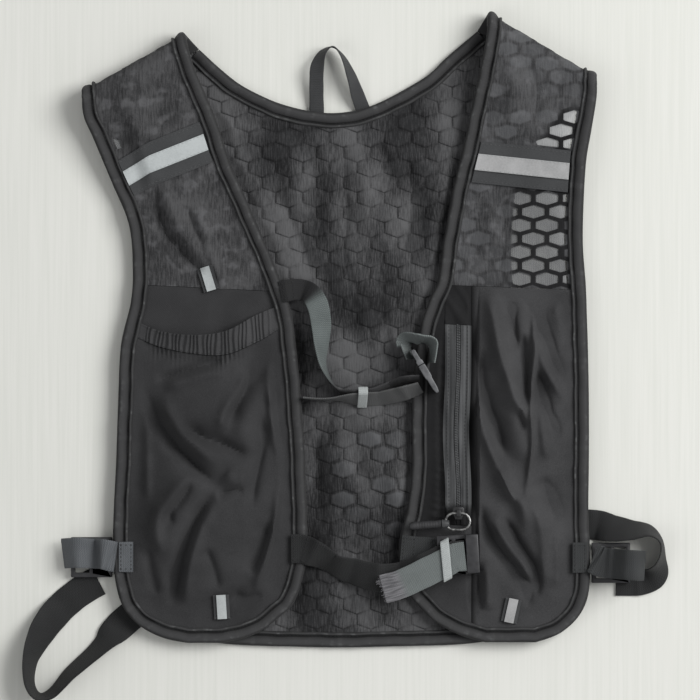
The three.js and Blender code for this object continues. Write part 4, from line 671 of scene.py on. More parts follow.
finishes = {
    "back": backFabric("back_knit"),
    "net": netFabric("cell_net"),
    "shoulder": shoulderFabric("shoulder_mesh"),
    "binding": bindingFabric("edge_tape"),
    "pocket": wovenFabric("pocket_stretch", "262627", "424243", spread=26),
    "pocketBack": wovenFabric("pocket_backing", "2a2a2b", "3d3d3e", 1.2),
    "gusset": wovenFabric("gusset_stretch", "131314", "252526", 1.1),
    "blackTape": wovenFabric("black_tape", "3a3b3c", "4c4d4e", 0.8, 0.8),
    "zipTape": tapeFabric("zip_tape"),
    "silverLeft": silverFabric("silver_tape_left", "adb2b2", "bfc4c4"),
    "silverRight": silverFabric("silver_tape_right", "9c9c9c", "b1b1b1"),
    "webbing": webbingFabric("chest_webbing", "5a5f5e", "7d8382", 3.0),
    "upperWebbing": webbingFabric("upper_webbing", "4b5150", "6b7271", 3.0, 27, 86),
    "darkWebbing": webbingFabric("dark_webbing", "252626", "3f4142", 3.4),
    "mouthBand": wovenFabric("band_stretch", "303031", "4a4a4b", 0.9),
    "rightPocket": wovenFabric("right_pocket_stretch", "29292a", "4b4b4c", spread=26, paintedShadeX=0.0892),
    "tailWebbing": webbingFabric("tail_webbing", "474747", "626363", 3.0),
    "lowerTail": webbingFabric("lower_tail_webbing", "585d5c", "767c7b", 3.0, worn=15),
    "sideWebbing": webbingFabric("side_webbing", "46494c", "676a6d", 3.4),
    "blackWebbing": webbingFabric("black_webbing", "1b1b1c", "2c2d2d", 3.4),
    "loop": webbingFabric("loop_tape", "2b2c2d", "464748", 2.0),
    "elastic": webbingFabric("light_elastic", "9a9f9e", "bfc4c3", 1.5),
    "plastic": mouldedPlastic("buckle_plastic", "29292b", "3a3a3c"),
    # painted reflection: a paler, glossier copy of the buckle plastic for the upright buckle, whose edges catch the
    # light
    "palePlastic": mouldedPlastic("pale_plastic", "505153", "6c6d6f", 0.36),
    "zip": mouldedPlastic("zip_plastic", "1d1d1e", "2d2d2e", 0.35),
    "teeth": mouldedPlastic("zip_teeth", "3e3f40", "5a5b5c", 0.6),
    "grip": mouldedPlastic("grip_rubber", "272728", "39393b", 0.55),
    "collar": mouldedPlastic("collar_plastic", "343536", "4b4c4d", 0.4),
    "wire": wireFinish("ring_wire"),
    "thread": wovenFabric("sewing_thread", "434344", "5d5d5e", 0.5, 0.7, 0.1, 0.0001),
    "paleThread": wovenFabric("pale_thread", "9fa3a3", "b5b9b9", 0.5, 0.7, 0.1, 0.0001),
    "darkThread": wovenFabric("dark_thread", "1d1d1e", "2f2f30", 0.5, 0.7, 0.1, 0.0001),
}
print("finishes made:", len(finishes))


# repeated pieces follow paths with geometry nodes


stitchShape = ("GeometryNodeMeshUVSphere", {"Segments": 6, "Rings": 4, "Radius": 0.5})
toothShape = ("GeometryNodeMeshCylinder", {"Vertices": 8, "Radius": 0.5, "Depth": 1.0})


def repeatTree(name, shapeKind):  # one small shape set out along every path
    tree = bpy.data.node_groups.new(name, "GeometryNodeTree")
    face = tree.interface
    face.new_socket("Geometry", in_out="INPUT", socket_type="NodeSocketGeometry")
    for label, value in (("Spacing", 0.003), ("Length", 0.002), ("Width", 0.0005), ("Height", 0.0004)):
        socket = face.new_socket(label, in_out="INPUT", socket_type="NodeSocketFloat")
        socket.default_value = value
    face.new_socket("Material", in_out="INPUT", socket_type="NodeSocketMaterial")
    face.new_socket("Geometry", in_out="OUTPUT", socket_type="NodeSocketGeometry")

    def node(kind, inputs=(), **settings):
        made = tree.nodes.new(kind)
        for key, value in settings.items():
            setattr(made, key, value)
        for key, value in dict(inputs).items():
            made.inputs[key].default_value = value
        return made

    start = node("NodeGroupInput")
    finish = node("NodeGroupOutput")
    curve = node("GeometryNodeMeshToCurve")
    resample = node("GeometryNodeResampleCurve")
    resample.mode = "LENGTH"
    tangent = node("GeometryNodeInputTangent")
    alignRun = node("FunctionNodeAlignRotationToVector", axis="X")
    alignUp = node("FunctionNodeAlignRotationToVector", axis="Z", pivot_axis="X")
    upward = node("GeometryNodeInputNamedAttribute", {"Name": "upward"}, data_type="FLOAT_VECTOR")
    scale = node("ShaderNodeCombineXYZ")
    place = node("GeometryNodeInstanceOnPoints")
    realize = node("GeometryNodeRealizeInstances")
    paint = node("GeometryNodeSetMaterial")
    smoothFaces = node("GeometryNodeSetShadeSmooth")
    shape = node(*shapeKind)
    for source, leaves, target, enters in (
        (start, "Geometry", curve, "Mesh"),
        (curve, "Curve", resample, "Curve"),
        (start, "Spacing", resample, "Length"),
        (resample, "Curve", place, "Points"),
        (shape, "Mesh", place, "Instance"),
        (tangent, "Tangent", alignRun, "Vector"),
        (alignRun, "Rotation", alignUp, "Rotation"),
        (upward, "Attribute", alignUp, "Vector"),
        (alignUp, "Rotation", place, "Rotation"),
        (start, "Length", scale, "X"),
        (start, "Width", scale, "Y"),
        (start, "Height", scale, "Z"),
        (scale, "Vector", place, "Scale"),
        (place, "Instances", realize, "Geometry"),
        (realize, "Geometry", smoothFaces, "Geometry"),
        (smoothFaces, "Geometry", paint, "Geometry"),
        (start, "Material", paint, "Material"),
        (paint, "Geometry", finish, "Geometry"),
    ):
        tree.links.new(source.outputs[leaves], target.inputs[enters])
    return tree


stitchTree = repeatTree("stitches along paths", stitchShape)
toothTree = repeatTree("teeth along a path", toothShape)


def setOut(name, paths, tree, sizes, material, slot):  # paths: lists of (points, upward)
    mesh = bpy.data.meshes.new(name + "_paths")
    points, edges, ups = [], [], []
    for line, up in paths:
        base = len(points)
        line = np.asarray(line, float)
        points += (line * mm).tolist()
        ups.append(np.broadcast_to(np.asarray(up, float), line.shape))
        edges += [(base + i, base + i + 1) for i in range(len(line) - 1)]
    mesh.from_pydata(points, edges, [])
    upward = mesh.attributes.new("upward", "FLOAT_VECTOR", "POINT")
    upward.data.foreach_set("vector", np.concatenate(ups).astype(np.float32).ravel())
    piece = bpy.data.objects.new(name, mesh)
    scene.collection.objects.link(piece)
    modifier = piece.modifiers.new("set out", "NODES")
    modifier.node_group = tree
    sockets = {item.name: item.identifier for item in tree.interface.items_tree if item.in_out == "INPUT"}
    for label, value in sizes.items():
        modifier[sockets[label]] = value * mm
    modifier[sockets["Material"]] = material
    baked(piece)
    if not piece.data.materials:
        piece.data.materials.append(material)
    settle(piece, slot=slot)


# the fronts: plan, height and fold, as the model has them


leftFrontRows = [
    [-0.618, 0.035, -0.999, 0.123], [-0.583, 0.088, -0.996, 0.159], [-0.509, 0.159, -0.953, 0.202],
    [-0.443, 0.239, -0.885, 0.269], [-0.35, 0.326, -0.822, 0.333], [-0.268, 0.406, -0.807, 0.398],
    [-0.214, 0.466, -0.813, 0.455], [-0.191, 0.525, -0.852, 0.525], [-0.171, 0.613, -0.863, 0.613],
    [-0.156, 0.708, -0.871, 0.708], [-0.148, 0.819, -0.883, 0.819], [-0.152, 0.87, -0.879, 0.883],
    [-0.194, 0.929, -0.856, 0.929], [-0.249, 0.953, -0.813, 0.957], [-0.315, 0.974, -0.751, 0.976],
    [-0.381, 0.986, -0.681, 0.988], [-0.463, 0.994, -0.603, 0.994],
]  # fmt: skip
rightFrontRows = [
    [0.568, 0.002, 0.972, 0.1], [0.56, 0.048, 0.972, 0.132], [0.521, 0.123, 0.953, 0.183],
    [0.482, 0.199, 0.933, 0.234], [0.436, 0.278, 0.924, 0.302], [0.401, 0.355, 0.922, 0.366],
    [0.377, 0.422, 0.933, 0.43], [0.338, 0.461, 0.937, 0.477], [0.299, 0.517, 0.941, 0.525],
    [0.276, 0.613, 0.945, 0.613], [0.276, 0.708, 0.945, 0.708], [0.261, 0.78, 0.943, 0.788],
    [0.226, 0.843, 0.949, 0.851], [0.249, 0.907, 0.947, 0.907], [0.312, 0.942, 0.929, 0.938],
    [0.377, 0.965, 0.887, 0.963], [0.463, 0.983, 0.824, 0.982], [0.552, 0.993, 0.747, 0.993],
]  # fmt: skip


class Front:
    def __init__(self, rows, splitRow, neckLean, sideLean, folds=(), kink=None):
        rows = np.array(rows)
        self.folds, self.kink = folds, kink
        self.inner = spots(rows[:, :2])
        self.outer = spots(rows[:, 2:])
        self.leans = (neckLean, sideLean)
        v = unitSteps(60)
        self.outline = np.vstack([self.plan(0 * v, v), self.plan(0 * v + 1, 1 - v)])
        a, b = self.plan(0.0, 0.0), self.plan(1.0, 0.0)
        self.foldInner = a
        self.foldSlope = (b[1] - a[1]) / (b[0] - a[0])
        last = len(rows) - 1
        self.foldV = vest["foldRadius"] / np.linalg.norm(self.plan(0.5, 1 / last) - self.plan(0.5, 0.0)) / last
        self.splitV = splitRow / last

    def plan(self, u, v):
        u = np.asarray(u, float)
        return mix(curveAt(self.inner, v), curveAt(self.outer, v), u[..., None])

    def depth(self, place):
        return depthInside(self.outline, place)

    def height(self, place):
        drop = self.foldInner[1] + (place[..., 0] - self.foldInner[0]) * self.foldSlope - place[..., 1]
        high = mix(frontRest, foldTop, smooth(1 - (drop - vest["foldRadius"] * 1.3) / vest["settle"]))
        return high + self.lie(place)

    def lie(self, place):  # how the padded mesh buckles
        rise = foldLines(place, self.folds) if self.folds else np.zeros(place.shape[:-1])
        if self.kink:
            a, b = framePlace(*self.kink[0]), framePlace(*self.kink[1])
            past = a[0] + (place[..., 1] - a[1]) * (b[0] - a[0]) / (b[1] - a[1]) - place[..., 0]
            reach = smooth((place[..., 1] - 76) / 24) * smooth((162 - place[..., 1]) / 22)  # fades at both its ends
            rise = rise - self.kink[2] * smooth(past / 12) * reach
        return rise

    def middle(self, u, v):
        place = self.plan(u, v)
        return at(place, self.height(place))

    def flapWay(self, u):
        lean = mix(self.leans[0], self.leans[1], np.asarray(u, float))
        return unit(np.stack([lean, -np.ones_like(lean)], axis=-1))

    def seamSpot(self, u, reach):
        u = np.asarray(u, float)
        return self.plan(u, 0 * u) + self.flapWay(u) * (vest["foldRadius"] + vest["foldFlap"] + reach)

    def foldPlace(self, u, angle):
        u = np.asarray(u, float)
        radius = vest["foldRadius"]
        reach = 1 - math.cos(math.radians(angle))
        if angle < 0:
            place = self.plan(u, 0 * u) + self.flapWay(u) * radius * reach
        else:
            place = mix(self.plan(u, 0 * u), self.plan(u, 0 * u + self.foldV), reach)
        rise = flapMiddle + radius * (1 + math.sin(math.radians(angle)))
        return at(place, np.full(u.shape, rise))

    def rowAt(self, u, y):  # v of a place on a column at a height of the frame
        u = np.asarray(u, float)
        low, high = np.zeros_like(u), np.ones_like(u)
        for _ in range(26):
            half = (low + high) / 2
            above = self.plan(u, half)[..., 1] > y
            low = np.where(above, half, low)
            high = np.where(above, high, half)
        return (low + high) / 2

    def inset(self, u, v):  # just inside its edges
        v = np.asarray(v, float)
        ends = np.linalg.norm(self.plan(0 * v, v) - self.plan(0 * v + 1, v), axis=-1)
        end = 1.2 / ends
        return self.plan(mix(end, 1 - end, u), v)

    def shoulder(self, columns, foldSteps, rows):  # rows of points from behind the fold to the pockets
        def spread(v):
            end = vest["bindingWidth"] / np.linalg.norm(self.plan(0.0, v) - self.plan(1.0, v))
            inside = mix(end, 1 - end, np.linspace(0, 1, columns))
            return np.concatenate([[0, end * 0.5], inside, [1 - end * 0.5, 1]])

        foldColumns = spread(self.foldV)
        grid = []
        seam = self.seamSpot(foldColumns, 0)
        first = self.foldPlace(foldColumns, -90)
        for t in unitSteps(4)[:-1]:
            grid.append(at(mix(seam, first[:, :2], t), np.full(len(seam), flapMiddle)))
        angles = np.linspace(-90, 45, foldSteps)
        grid += [self.foldPlace(foldColumns, a) for a in angles]
        start = self.foldPlace(foldColumns, 45)
        for t in unitSteps(rows):
            v = mix(self.foldV, self.splitV, t)
            grid.append(self.middle(spread(v), v))
        # the turn from the fold to the lie of the front is drawn in smoothly
        joint = 4 + foldSteps
        landing = grid[joint]
        for k, t in enumerate(unitSteps(5)[1:-1]):
            grid.insert(joint + k, bend(grid[joint - 2], start, landing, grid[joint + k + 1], t))
        return np.array(grid)


def bend(a, b, c, d, t):  # one more row between b and c
    return cubic(a, b, c, d, np.full(b.shape[:1] + (1,), t))


leftBuckles = [
    (-6.1, 4.4, 0.2, [(155, 174), (157, 208), (164, 231), (178, 249), (196, 267), (208, 280)]),
    (4.4, 5.2, 0, [(165, 184), (173, 214), (184, 234), (202, 259), (213, 276)]),
    (3.4, 3.6, 0, [(197, 205), (205, 234), (211, 252), (218, 270), (227, 296)]),
    (-2.6, 3.8, 0, [(186, 205), (194, 228), (203, 246)]),
]  # fmt: skip
rightBuckles = [
    (2.2, 5.0, 0, [(503, 40), (512, 80), (508, 122)]),
    (-2.4, 5.0, 0, [(528, 60), (536, 95), (530, 130)]),
    (2.4, 5.0, 0, [(484, 198), (492, 226), (484, 262)]),
    (-2.7, 5.0, 0, [(498, 196), (505, 236), (496, 280)]),
]  # fmt: skip
leftFront = Front(leftFrontRows, 5.55, 0.95, 0.9, leftBuckles, ((146, 152), (151, 168), 4.2))
rightFront = Front(rightFrontRows, 6.15, -0.6, -1.1, rightBuckles)


# the back panel

back = {"columns": 175, "rows": 205, "seamShare": 0.18}
backFolds = [
    (-4.1, 4.3, 0, [(340, 128), (343, 170), (346, 215), (343, 250), (349, 292)]),
    (5.4, 7.1, 0, [(326, 128), (328, 180), (331, 230), (330, 290)]),
    (5.9, 8.0, 0, [(440, 175), (434, 215), (422, 268)]),
    (-4.1, 5.2, 0, [(404, 150), (412, 200), (402, 262)]),
    (4.9, 8.0, 0, [(362, 286), (368, 316), (374, 348)]),
    (-4.1, 4.8, 0, [(382, 296), (386, 330), (391, 370)]),
    (6.4, 10.3, 0, [(350, 404), (378, 440), (394, 475), (400, 516)]),
    (-4.1, 5.7, 0, [(322, 418), (317, 470), (323, 535)]),
    (-4.3, 4.8, 0, [(345, 568), (349, 594), (352, 628)]),
    (3.6, 8.4, 0, [(256, 108), (285, 150), (302, 205)]),
    (-3.6, 5.2, 0, [(272, 182), (298, 236), (316, 288)]),
    (-3.3, 5.7, 0, [(372, 135), (388, 165), (392, 205)]),
    (3.3, 6.6, 0, [(356, 150), (366, 190), (368, 240)]),
]  # fmt: skip
neckRows = [
    [-0.482, 0.089], [-0.408, 0.113], [-0.327, 0.131], [-0.245, 0.145], [-0.14, 0.156], [-0.039, 0.16],
    [0.06, 0.155], [0.15, 0.142], [0.261, 0.118], [0.345, 0.096], [0.41, 0.07],
]  # fmt: skip
hemRows = [
    [-0.745, 0.952], [-0.66, 0.978], [-0.463, 0.996], [-0.167, 1.001], [0.008, 1.002], [0.222, 1],
    [0.486, 0.996], [0.7, 0.98], [0.83, 0.952],
]  # fmt: skip
backLeftRows = [
    [-0.859, 0.191], [-0.813, 0.247], [-0.778, 0.31], [-0.758, 0.39], [-0.765, 0.47], [-0.797, 0.549],
    [-0.821, 0.644], [-0.828, 0.772], [-0.821, 0.867], [-0.795, 0.922],
]  # fmt: skip
backRightRows = [
    [0.766, 0.18], [0.704, 0.223], [0.653, 0.278], [0.634, 0.374], [0.652, 0.453], [0.727, 0.533],
    [0.824, 0.613], [0.883, 0.708], [0.9, 0.819], [0.88, 0.918],
]  # fmt: skip


def leftSeam(t):
    return leftFront.seamSpot(1 - np.asarray(t, float), gap)


def rightSeam(t):
    return rightFront.seamSpot(np.asarray(t, float), gap)


neckPoints = np.vstack([leftSeam([1.0]), spots(neckRows), rightSeam([0.0])])
hemPoints = spots(hemRows)
backLeftPoints = np.vstack([leftSeam([0.0]), spots(backLeftRows), spots(hemRows[:1])])
backRightPoints = np.vstack([rightSeam([1.0]), spots(backRightRows), spots(hemRows[-1:])])


def backTop(u):
    u = np.asarray(u, float)
    share = back["seamShare"]
    middle = curveAt(neckPoints, np.clip((u - share) / (1 - 2 * share), 0, 1))
    left = leftSeam(np.clip(u / share, 0, 1))
    right = rightSeam(np.clip((u - 1 + share) / share, 0, 1))
    return np.where((u <= share)[..., None], left, np.where((u >= 1 - share)[..., None], right, middle))


def backPlan(u, v):
    u, v = u[..., None], v[..., None]
    top, hem = backTop(u[..., 0]), curveAt(hemPoints, u[..., 0])
    left, right = curveAt(backLeftPoints, v[..., 0]), curveAt(backRightPoints, v[..., 0])
    topLeft, topRight = backTop(0.0), backTop(1.0)
    hemLeft, hemRight = curveAt(hemPoints, 0.0), curveAt(hemPoints, 1.0)
    corners = (1 - u) * (1 - v) * topLeft + u * (1 - v) * topRight + (1 - u) * v * hemLeft + u * v * hemRight
    return top * (1 - v) + hem * v + left * (1 - u) + right * u - corners


backOutline = np.vstack([
    backTop(unitSteps(60)),
    curveAt(backRightPoints, unitSteps(40)),
    curveAt(hemPoints, 1 - unitSteps(40)),
    curveAt(backLeftPoints, 1 - unitSteps(40)),
])  # fmt: skip
rampStart = lipInside + 8
rampEnd = rampStart + 8


def makeBack():
    u, v = np.meshgrid(unitSteps(back["columns"]), unitSteps(back["rows"]))
    places = backPlan(u, v)
    x, y = places[..., 0], places[..., 1]
    depth = depthInside(backOutline, places)
    edged = 1 - smooth((depth - rampStart) / (rampEnd - rampStart))
    edge, gx, gy = hexCell(x, y, backRow)
    cells = 0.9 * smooth(edge / 0.36) + 0.34 * (gy + gx) * smooth(edge / 0.25)
    apart = np.minimum(-leftFront.depth(places), -rightFront.depth(places))
    seen = smooth((apart - 1.5) / 9)
    sag = 0.45 * ripple(x, y, 90, 3) + 0.55 * ripple(x, y, 36, 4) + foldLines(places, backFolds) * seen * (1 - edged)
    lift = 2.2 * seen  # the open part of the back stands off the floor between its folds
    upperZ = mix(vest["backWall"] + lift + sag + cells - 0.8, layerRise + vest["backEdge"], edged)
    upperZ = np.maximum(upperZ, edged * layerRise + 0.7)
    lowerZ = edged * layerRise + 0.85 * np.maximum(lift + sag - 0.5, 0) * (1 - edged)
    piece = sheetPiece("back_cloth", at(places, lowerZ), at(places, upperZ), finishes["back"], sharp=70)
    settle(piece, "back_panel", slot="mesh_cloth")


makeBack()
print("back panel made")


# bindings: a puffed tape folded over an edge


bindingPiece = {"width": 9, "wall": 1.0, "crown": 2.0}


def bindingSection(half, extra):
    below = half + gap
    above = half + gap + extra
    width, wall, crown = bindingPiece["width"], bindingPiece["wall"], bindingPiece["crown"]
    nose = 2 * gap + wall
    top = [
        (nose * 0.97, -0.1), (nose, above * 0.55), (nose * 0.74, above + 0.9), (nose * 0.2, above + 1.6),
        (-0.9, above + crown), (-2.2, above + 1.95), (-3.6, above + 1.5), (-4.9, above + 0.95),
        (-5.6, above + 0.55), (-6.15, above + 0.12), (-6.6, above + 0.35), (-7.1, above + 1.25), (-7.8, above + 1.7),
        (-8.4, above + 1.4), (-8.85, above + 0.6), (-width, above + 0.08),
    ]  # fmt: skip
    inner = [(-width * 0.96, above), (2 * gap, above), (2 * gap, -below), (-width, -below)]
    under = [(-width, -below - wall * 0.8), (-width + 1, -below - wall), (nose * 0.5, -below - wall)]
    under += [(nose * 0.85, -below - wall * 0.55)]
    return np.array(top + inner + under)


def blurred(values, reach):
    size = 2 * reach + 1
    padded = np.pad(values, [(reach, reach)] + [(0, 0)] * (values.ndim - 1), mode="edge")
    return sum(padded[i : i + len(values)] for i in range(size)) / size


def bindingSweep(name, points, ups, lips, lipUps, half, extra, node):
    out = facing(unit(np.cross(unit(np.gradient(points, axis=0)), ups)), -lips)
    run = lengths(points)
    rings, uv = [], []
    for i, point in enumerate(points):
        section = bindingSection(half, extra[i])
        wobble = 0.16 * math.sin(run[i] / 3.9) + 0.1 * math.sin(run[i] / 1.7 + 2)
        sideways = 0.22 * math.sin(run[i] / 7.3 + 1) + 0.16 * math.sin(run[i] / 2.9)
        ring = []
        for s, h in section:
            raised = h > half + gap + extra[i] + 0.5
            share = max(-s / bindingPiece["width"], 0)
            up = unit(mix(ups[i], lipUps[i], share))
            lift = h + wobble * raised * (2.2 if share > 0.75 else 1)
            place = point + up * lift + out[i] * sideways * raised
            ring.append(place + (lips[i] * share if s < 0 else out[i] * s))
            uv.append((-s if h > 0 else 20 + s, run[i]))
        rings.append(ring)
    rings = np.array(rings)
    piece = sweepPiece(name, rings, finishes["binding"], uv, sharp=70)
    settle(piece, node, slot="binding_cloth")
    groove = rings[2:-2, 9]
    stitchRuns.append(("binding", groove, unit(mix(ups, lipUps, 0.7))[2:-2]))
    return piece


def frontBindingPath(front, grid):
    lip = 2
    normals = facingUp(grid)
    upper = lambda c, l: (grid[:, c], normals[:, c], grid[:, l] - grid[:, c], normals[:, l])
    v = np.linspace(front.splitV, 1, 90)[1:]
    parts = [upper(0, lip)]
    left = front.middle(0 * v, v)
    foot = np.linspace(0, 1, 12)[1:-1]
    bottom = front.middle(foot, 0 * foot + 1)
    right = front.middle(0 * v + 1, v)[::-1]
    lower = np.vstack([left, bottom, right])
    ups = np.tile([0, 0, 1.0], (len(lower), 1))
    side = facing(unit(np.cross(unit(np.gradient(lower, axis=0)), ups)), front.middle(0.5, 0.8) - lower)
    parts.append((lower, ups, unit(blurred(side, 2)) * vest["bindingWidth"], ups))
    parts.append(tuple(a[::-1] for a in upper(-1, -1 - lip)))
    points, ups, lips, lipUps = (np.vstack([p[k] for p in parts]) for k in range(4))
    lips = blurred(lips, 2)
    lips[:3], lips[-3:] = parts[0][2][:3], parts[2][2][-3:]
    return points, unit(ups), lips, unit(blurred(lipUps, 1))


# shoulders: padded mesh with open cells, over the fold


shoulder = {"columns": 92, "foldSteps": 26, "rows": 150, "cordRise": 0.35, "net": 0.2}
leftBand = [-0.546, 0.206, -0.848, 0.255]
rightBand = [0.525, 0.235, 0.87, 0.25]
band = {"height": 29, "stripe": 11.5}


def zoneDepth(front, bandRow, places):  # how far a place lies inside the part whose cells are open
    keepOff = vest["bindingWall"] + 2 * gap + vest["meshWeb"] / 2
    inner = front.depth(places) - vest["bindingWidth"] - vest["meshWeb"] / 2
    offBack = -depthInside(backOutline, places) - keepOff
    a, b = spot(*bandRow[:2]), spot(*bandRow[2:])
    run = unit(b - a)
    offBand = np.abs((places - a) @ np.array([-run[1], run[0]])) - band["height"] / 2 - vest["meshWeb"] / 2
    offSplit = places[..., 1] - front.plan(1.0, front.splitV)[1] - vest["meshWeb"]
    return np.minimum.reduce([inner, offBack, offBand, offSplit])


def openCells(front, bandRow):  # outlines of the cells, cut off where the zone ends
    width, height = vest["meshPitch"] - vest["meshWeb"], vest["meshRow"] * 4 / 3 - vest["meshWeb"]
    turns = [math.pi * k / 3 + math.pi / 2 for k in range(6)]
    corners = np.array([[math.cos(a) * width / math.sqrt(3), math.sin(a) * height / 2] for a in turns])
    edges = np.roll(corners, -1, axis=0) - corners
    outward = unit(np.stack([edges[:, 1], -edges[:, 0]], axis=1))
    reach = np.einsum("ij,ij->i", corners, outward)
    seeds = np.array([[x, y] for x in np.linspace(-6.5, 6.5, 9) for y in np.linspace(-3.6, 3.6, 7)])
    seedRoom = (reach - seeds @ outward.T).min(axis=1)
    seeds, seedRoom = seeds[seedRoom > 0.4], seedRoom[seedRoom > 0.4]
    outlines = []
    for row in range(22):
        for column in range(-10, 11):
            centre = np.array([(column + (row % 2) / 2) * vest["meshPitch"], along(0.1) - row * vest["meshRow"]])
            if zoneDepth(front, bandRow, centre) < -9:
                continue
            room = np.minimum(zoneDepth(front, bandRow, centre + seeds), seedRoom)
            best = int(np.argmax(room))
            if room[best] < 1.0:
                continue
            start = seeds[best]
            angles = [np.arctan2(*(c - start)[::-1]) for c in corners]
            angles = np.sort(np.mod(np.concatenate([angles, np.linspace(0, 2 * math.pi, 31)[:-1]]), 2 * math.pi))
            angles = angles[np.concatenate([[True], np.diff(angles) > 0.05])]
            ways = np.stack([np.cos(angles), np.sin(angles)], axis=1)
            slopes = ways @ outward.T
            far = np.where(slopes > 1e-6, (reach - outward @ start) / np.maximum(slopes, 1e-6), 1e9).min(axis=1)
            steps = np.linspace(0, 1, 22)
            rays = centre + start + ways[:, None] * (far[:, None] * steps)[..., None]
            blocked = zoneDepth(front, bandRow, rays) < 0
            first = np.where(blocked.any(axis=1), blocked.argmax(axis=1) - 0.5, 21) / 21
            limit = far * first
            limit = np.minimum(limit, (np.roll(limit, 1) + np.roll(limit, -1)) / 2 * 1.12)
            outlines.append(centre + start + ways * (limit * 0.985)[:, None])
    return outlines


def prismsMesh(name, outlines, low, high):
    points, faces = [], []
    for outline in outlines:
        base, n = len(points), len(outline)
        points += [[*p, low] for p in outline] + [[*p, high] for p in outline]
        faces.append([base + i for i in range(n)][::-1])
        faces.append([base + n + i for i in range(n)])
        faces += [[base + i, base + (i + 1) % n, base + n + (i + 1) % n, base + n + i] for i in range(n)]
    return makePiece(name, points, faces, finishes["shoulder"])


def carve(piece, cutter, operation="DIFFERENCE"):  # a boolean, applied, and its cutter taken away
    modifier = piece.modifiers.new("carve", "BOOLEAN")
    modifier.operation = operation
    modifier.solver = "MANIFOLD"
    modifier.object = cutter
    baked(piece)
    bpy.data.objects.remove(cutter, do_unlink=True)


def makeShoulder(side, front, bandRow):
    grid = front.shoulder(shoulder["columns"], shoulder["foldSteps"], shoulder["rows"])
    normals = facingUp(grid)
    x, y = grid[..., 0], grid[..., 1]
    # beyond the fold the pattern runs on along the cloth
    run = np.concatenate([[0], np.cumsum(np.linalg.norm(np.diff(grid[:, 40], axis=0), axis=1))])
    turned = 4 + shoulder["foldSteps"]
    crest = y[turned + 4, :][None, :] + (run[turned + 4] - run)[:, None]
    cellY = np.where(np.arange(len(grid))[:, None] < turned + 4, crest, y)
    edge = hexCell(x, cellY)[0]
    relief = -shoulder["cordRise"] * smooth((edge - 0.09) / 0.12) + 0.12 * ripple(x, y, 60, 5)
    column = np.arange(len(grid[0]))
    fade = smooth((np.minimum(column, column[::-1]) - 1) / 4)  # flat under the bindings
    wall = vest["frontWall"]
    lower = grid - normals * wall / 2
    upper = grid + normals * (wall / 2 + (relief * fade)[..., None])
    piece = sheetPiece(f"{side}_shoulder_cloth", lower, upper, finishes["shoulder"], sharp=60)
    cells = openCells(front, bandRow)
    carve(piece, prismsMesh(f"{side}_cells", cells, -2, 60))
    piece.data.set_sharp_from_angle(angle=math.radians(55))
    settle(piece, f"{side}_shoulder_mesh", slot="mesh_cloth")
    net = grid[turned + 8 :: 3, 3:-3:3]
    netPiece = sheetPiece(f"{side}_cell_net", *walled(net, shoulder["net"]), finishes["net"])
    settle(netPiece, slot="mesh_cloth")
    path = frontBindingPath(front, grid)
    splitY = front.plan(0.5, front.splitV)[1]
    extra = (vest["pocketWall"] + gap) * smooth((splitY + 12 - path[0][:, 1]) / 12) * (path[0][:, 2] < foldTop)
    bindingSweep(f"{side}_front_tape", *path, wall / 2, extra, f"{side}_front_binding")
    print(side, "shoulder made with", len(cells), "open cells")


makeShoulder("left", leftFront, leftBand)
makeShoulder("right", rightFront, rightBand)


def flatBinding(name, places, node):
    points = at(places, np.full(len(places), backEdgeMiddle))
    ups = np.tile([0, 0, 1.0], (len(points), 1))
    side = facing(unit(np.cross(unit(np.gradient(points, axis=0)), ups)), -points)
    lips = unit(blurred(side, 2)) * vest["bindingWidth"]
    bindingSweep(name, points, ups, lips, ups, vest["backEdge"] / 2, np.zeros(len(points)), node)


def evenly(points, step):  # the same line with points an even distance apart
    run = lengths(points)
    marks = np.linspace(0, run[-1], max(int(run[-1] / step), 2) + 1)
    return np.stack([np.interp(marks, run, points[:, k]) for k in range(points.shape[1])], axis=1)


flatBinding("neck_tape", evenly(curveAt(neckPoints, np.linspace(0.003, 0.997, 200)), 2.2), "neck_binding")
backEdge = np.vstack([
    curveAt(backLeftPoints, np.linspace(0.003, 1, 200)),
    curveAt(hemPoints, unitSteps(199))[1:],
    curveAt(backRightPoints, np.linspace(1, 0.003, 200))[1:],
])  # fmt: skip
flatBinding("back_tape", evenly(backEdge, 2.2), "back_binding")
print("bindings made")


# pockets: cloth standing off the fronts


pocket = {"puff": 11, "gape": 7, "foldDepth": 3.5, "hemRamp": 34, "foot": 0.988}
baseGap = gap / vest["length"]
leftFolds = [
    [-0.78, 0.6, -0.66, 0.68, 0.035, -1], [-0.66, 0.68, -0.49, 0.745, 0.035, -0.8],
    [-0.61, 0.655, -0.36, 0.7, 0.03, -0.8], [-0.31, 0.53, -0.45, 0.655, 0.04, -1],
    [-0.52, 0.77, -0.65, 0.89, 0.035, -1], [-0.65, 0.89, -0.66, 0.95, 0.03, -0.7],
    [-0.28, 0.58, -0.23, 0.74, 0.04, 1], [-0.23, 0.74, -0.33, 0.92, 0.04, 0.8],
]  # fmt: skip
rightFolds = [
    [0.572, 0.453, 0.599, 0.541, 0.035, 1], [0.599, 0.541, 0.649, 0.613, 0.035, 1],
    [0.649, 0.613, 0.696, 0.692, 0.04, 1], [0.575, 0.605, 0.62, 0.7, 0.03, -0.6],
    [0.747, 0.453, 0.786, 0.613, 0.035, -0.7], [0.844, 0.453, 0.863, 0.644, 0.03, -0.6],
    [0.66, 0.76, 0.68, 0.88, 0.035, -0.5],
]  # fmt: skip


def foldRelief(places, folds, depth):
    relief = 0
    for fromX, fromY, toX, toY, width, share in folds:
        a = spot(fromX, fromY)
        edge = spot(toX, toY) - a
        t = np.clip(((places - a) @ edge) / (edge @ edge), 0, 1)
        apart = np.linalg.norm(places - a - t[..., None] * edge, axis=-1)
        relief = relief + share * depth * np.exp(-((apart / (width * vest["halfWidth"])) ** 2))
    return relief


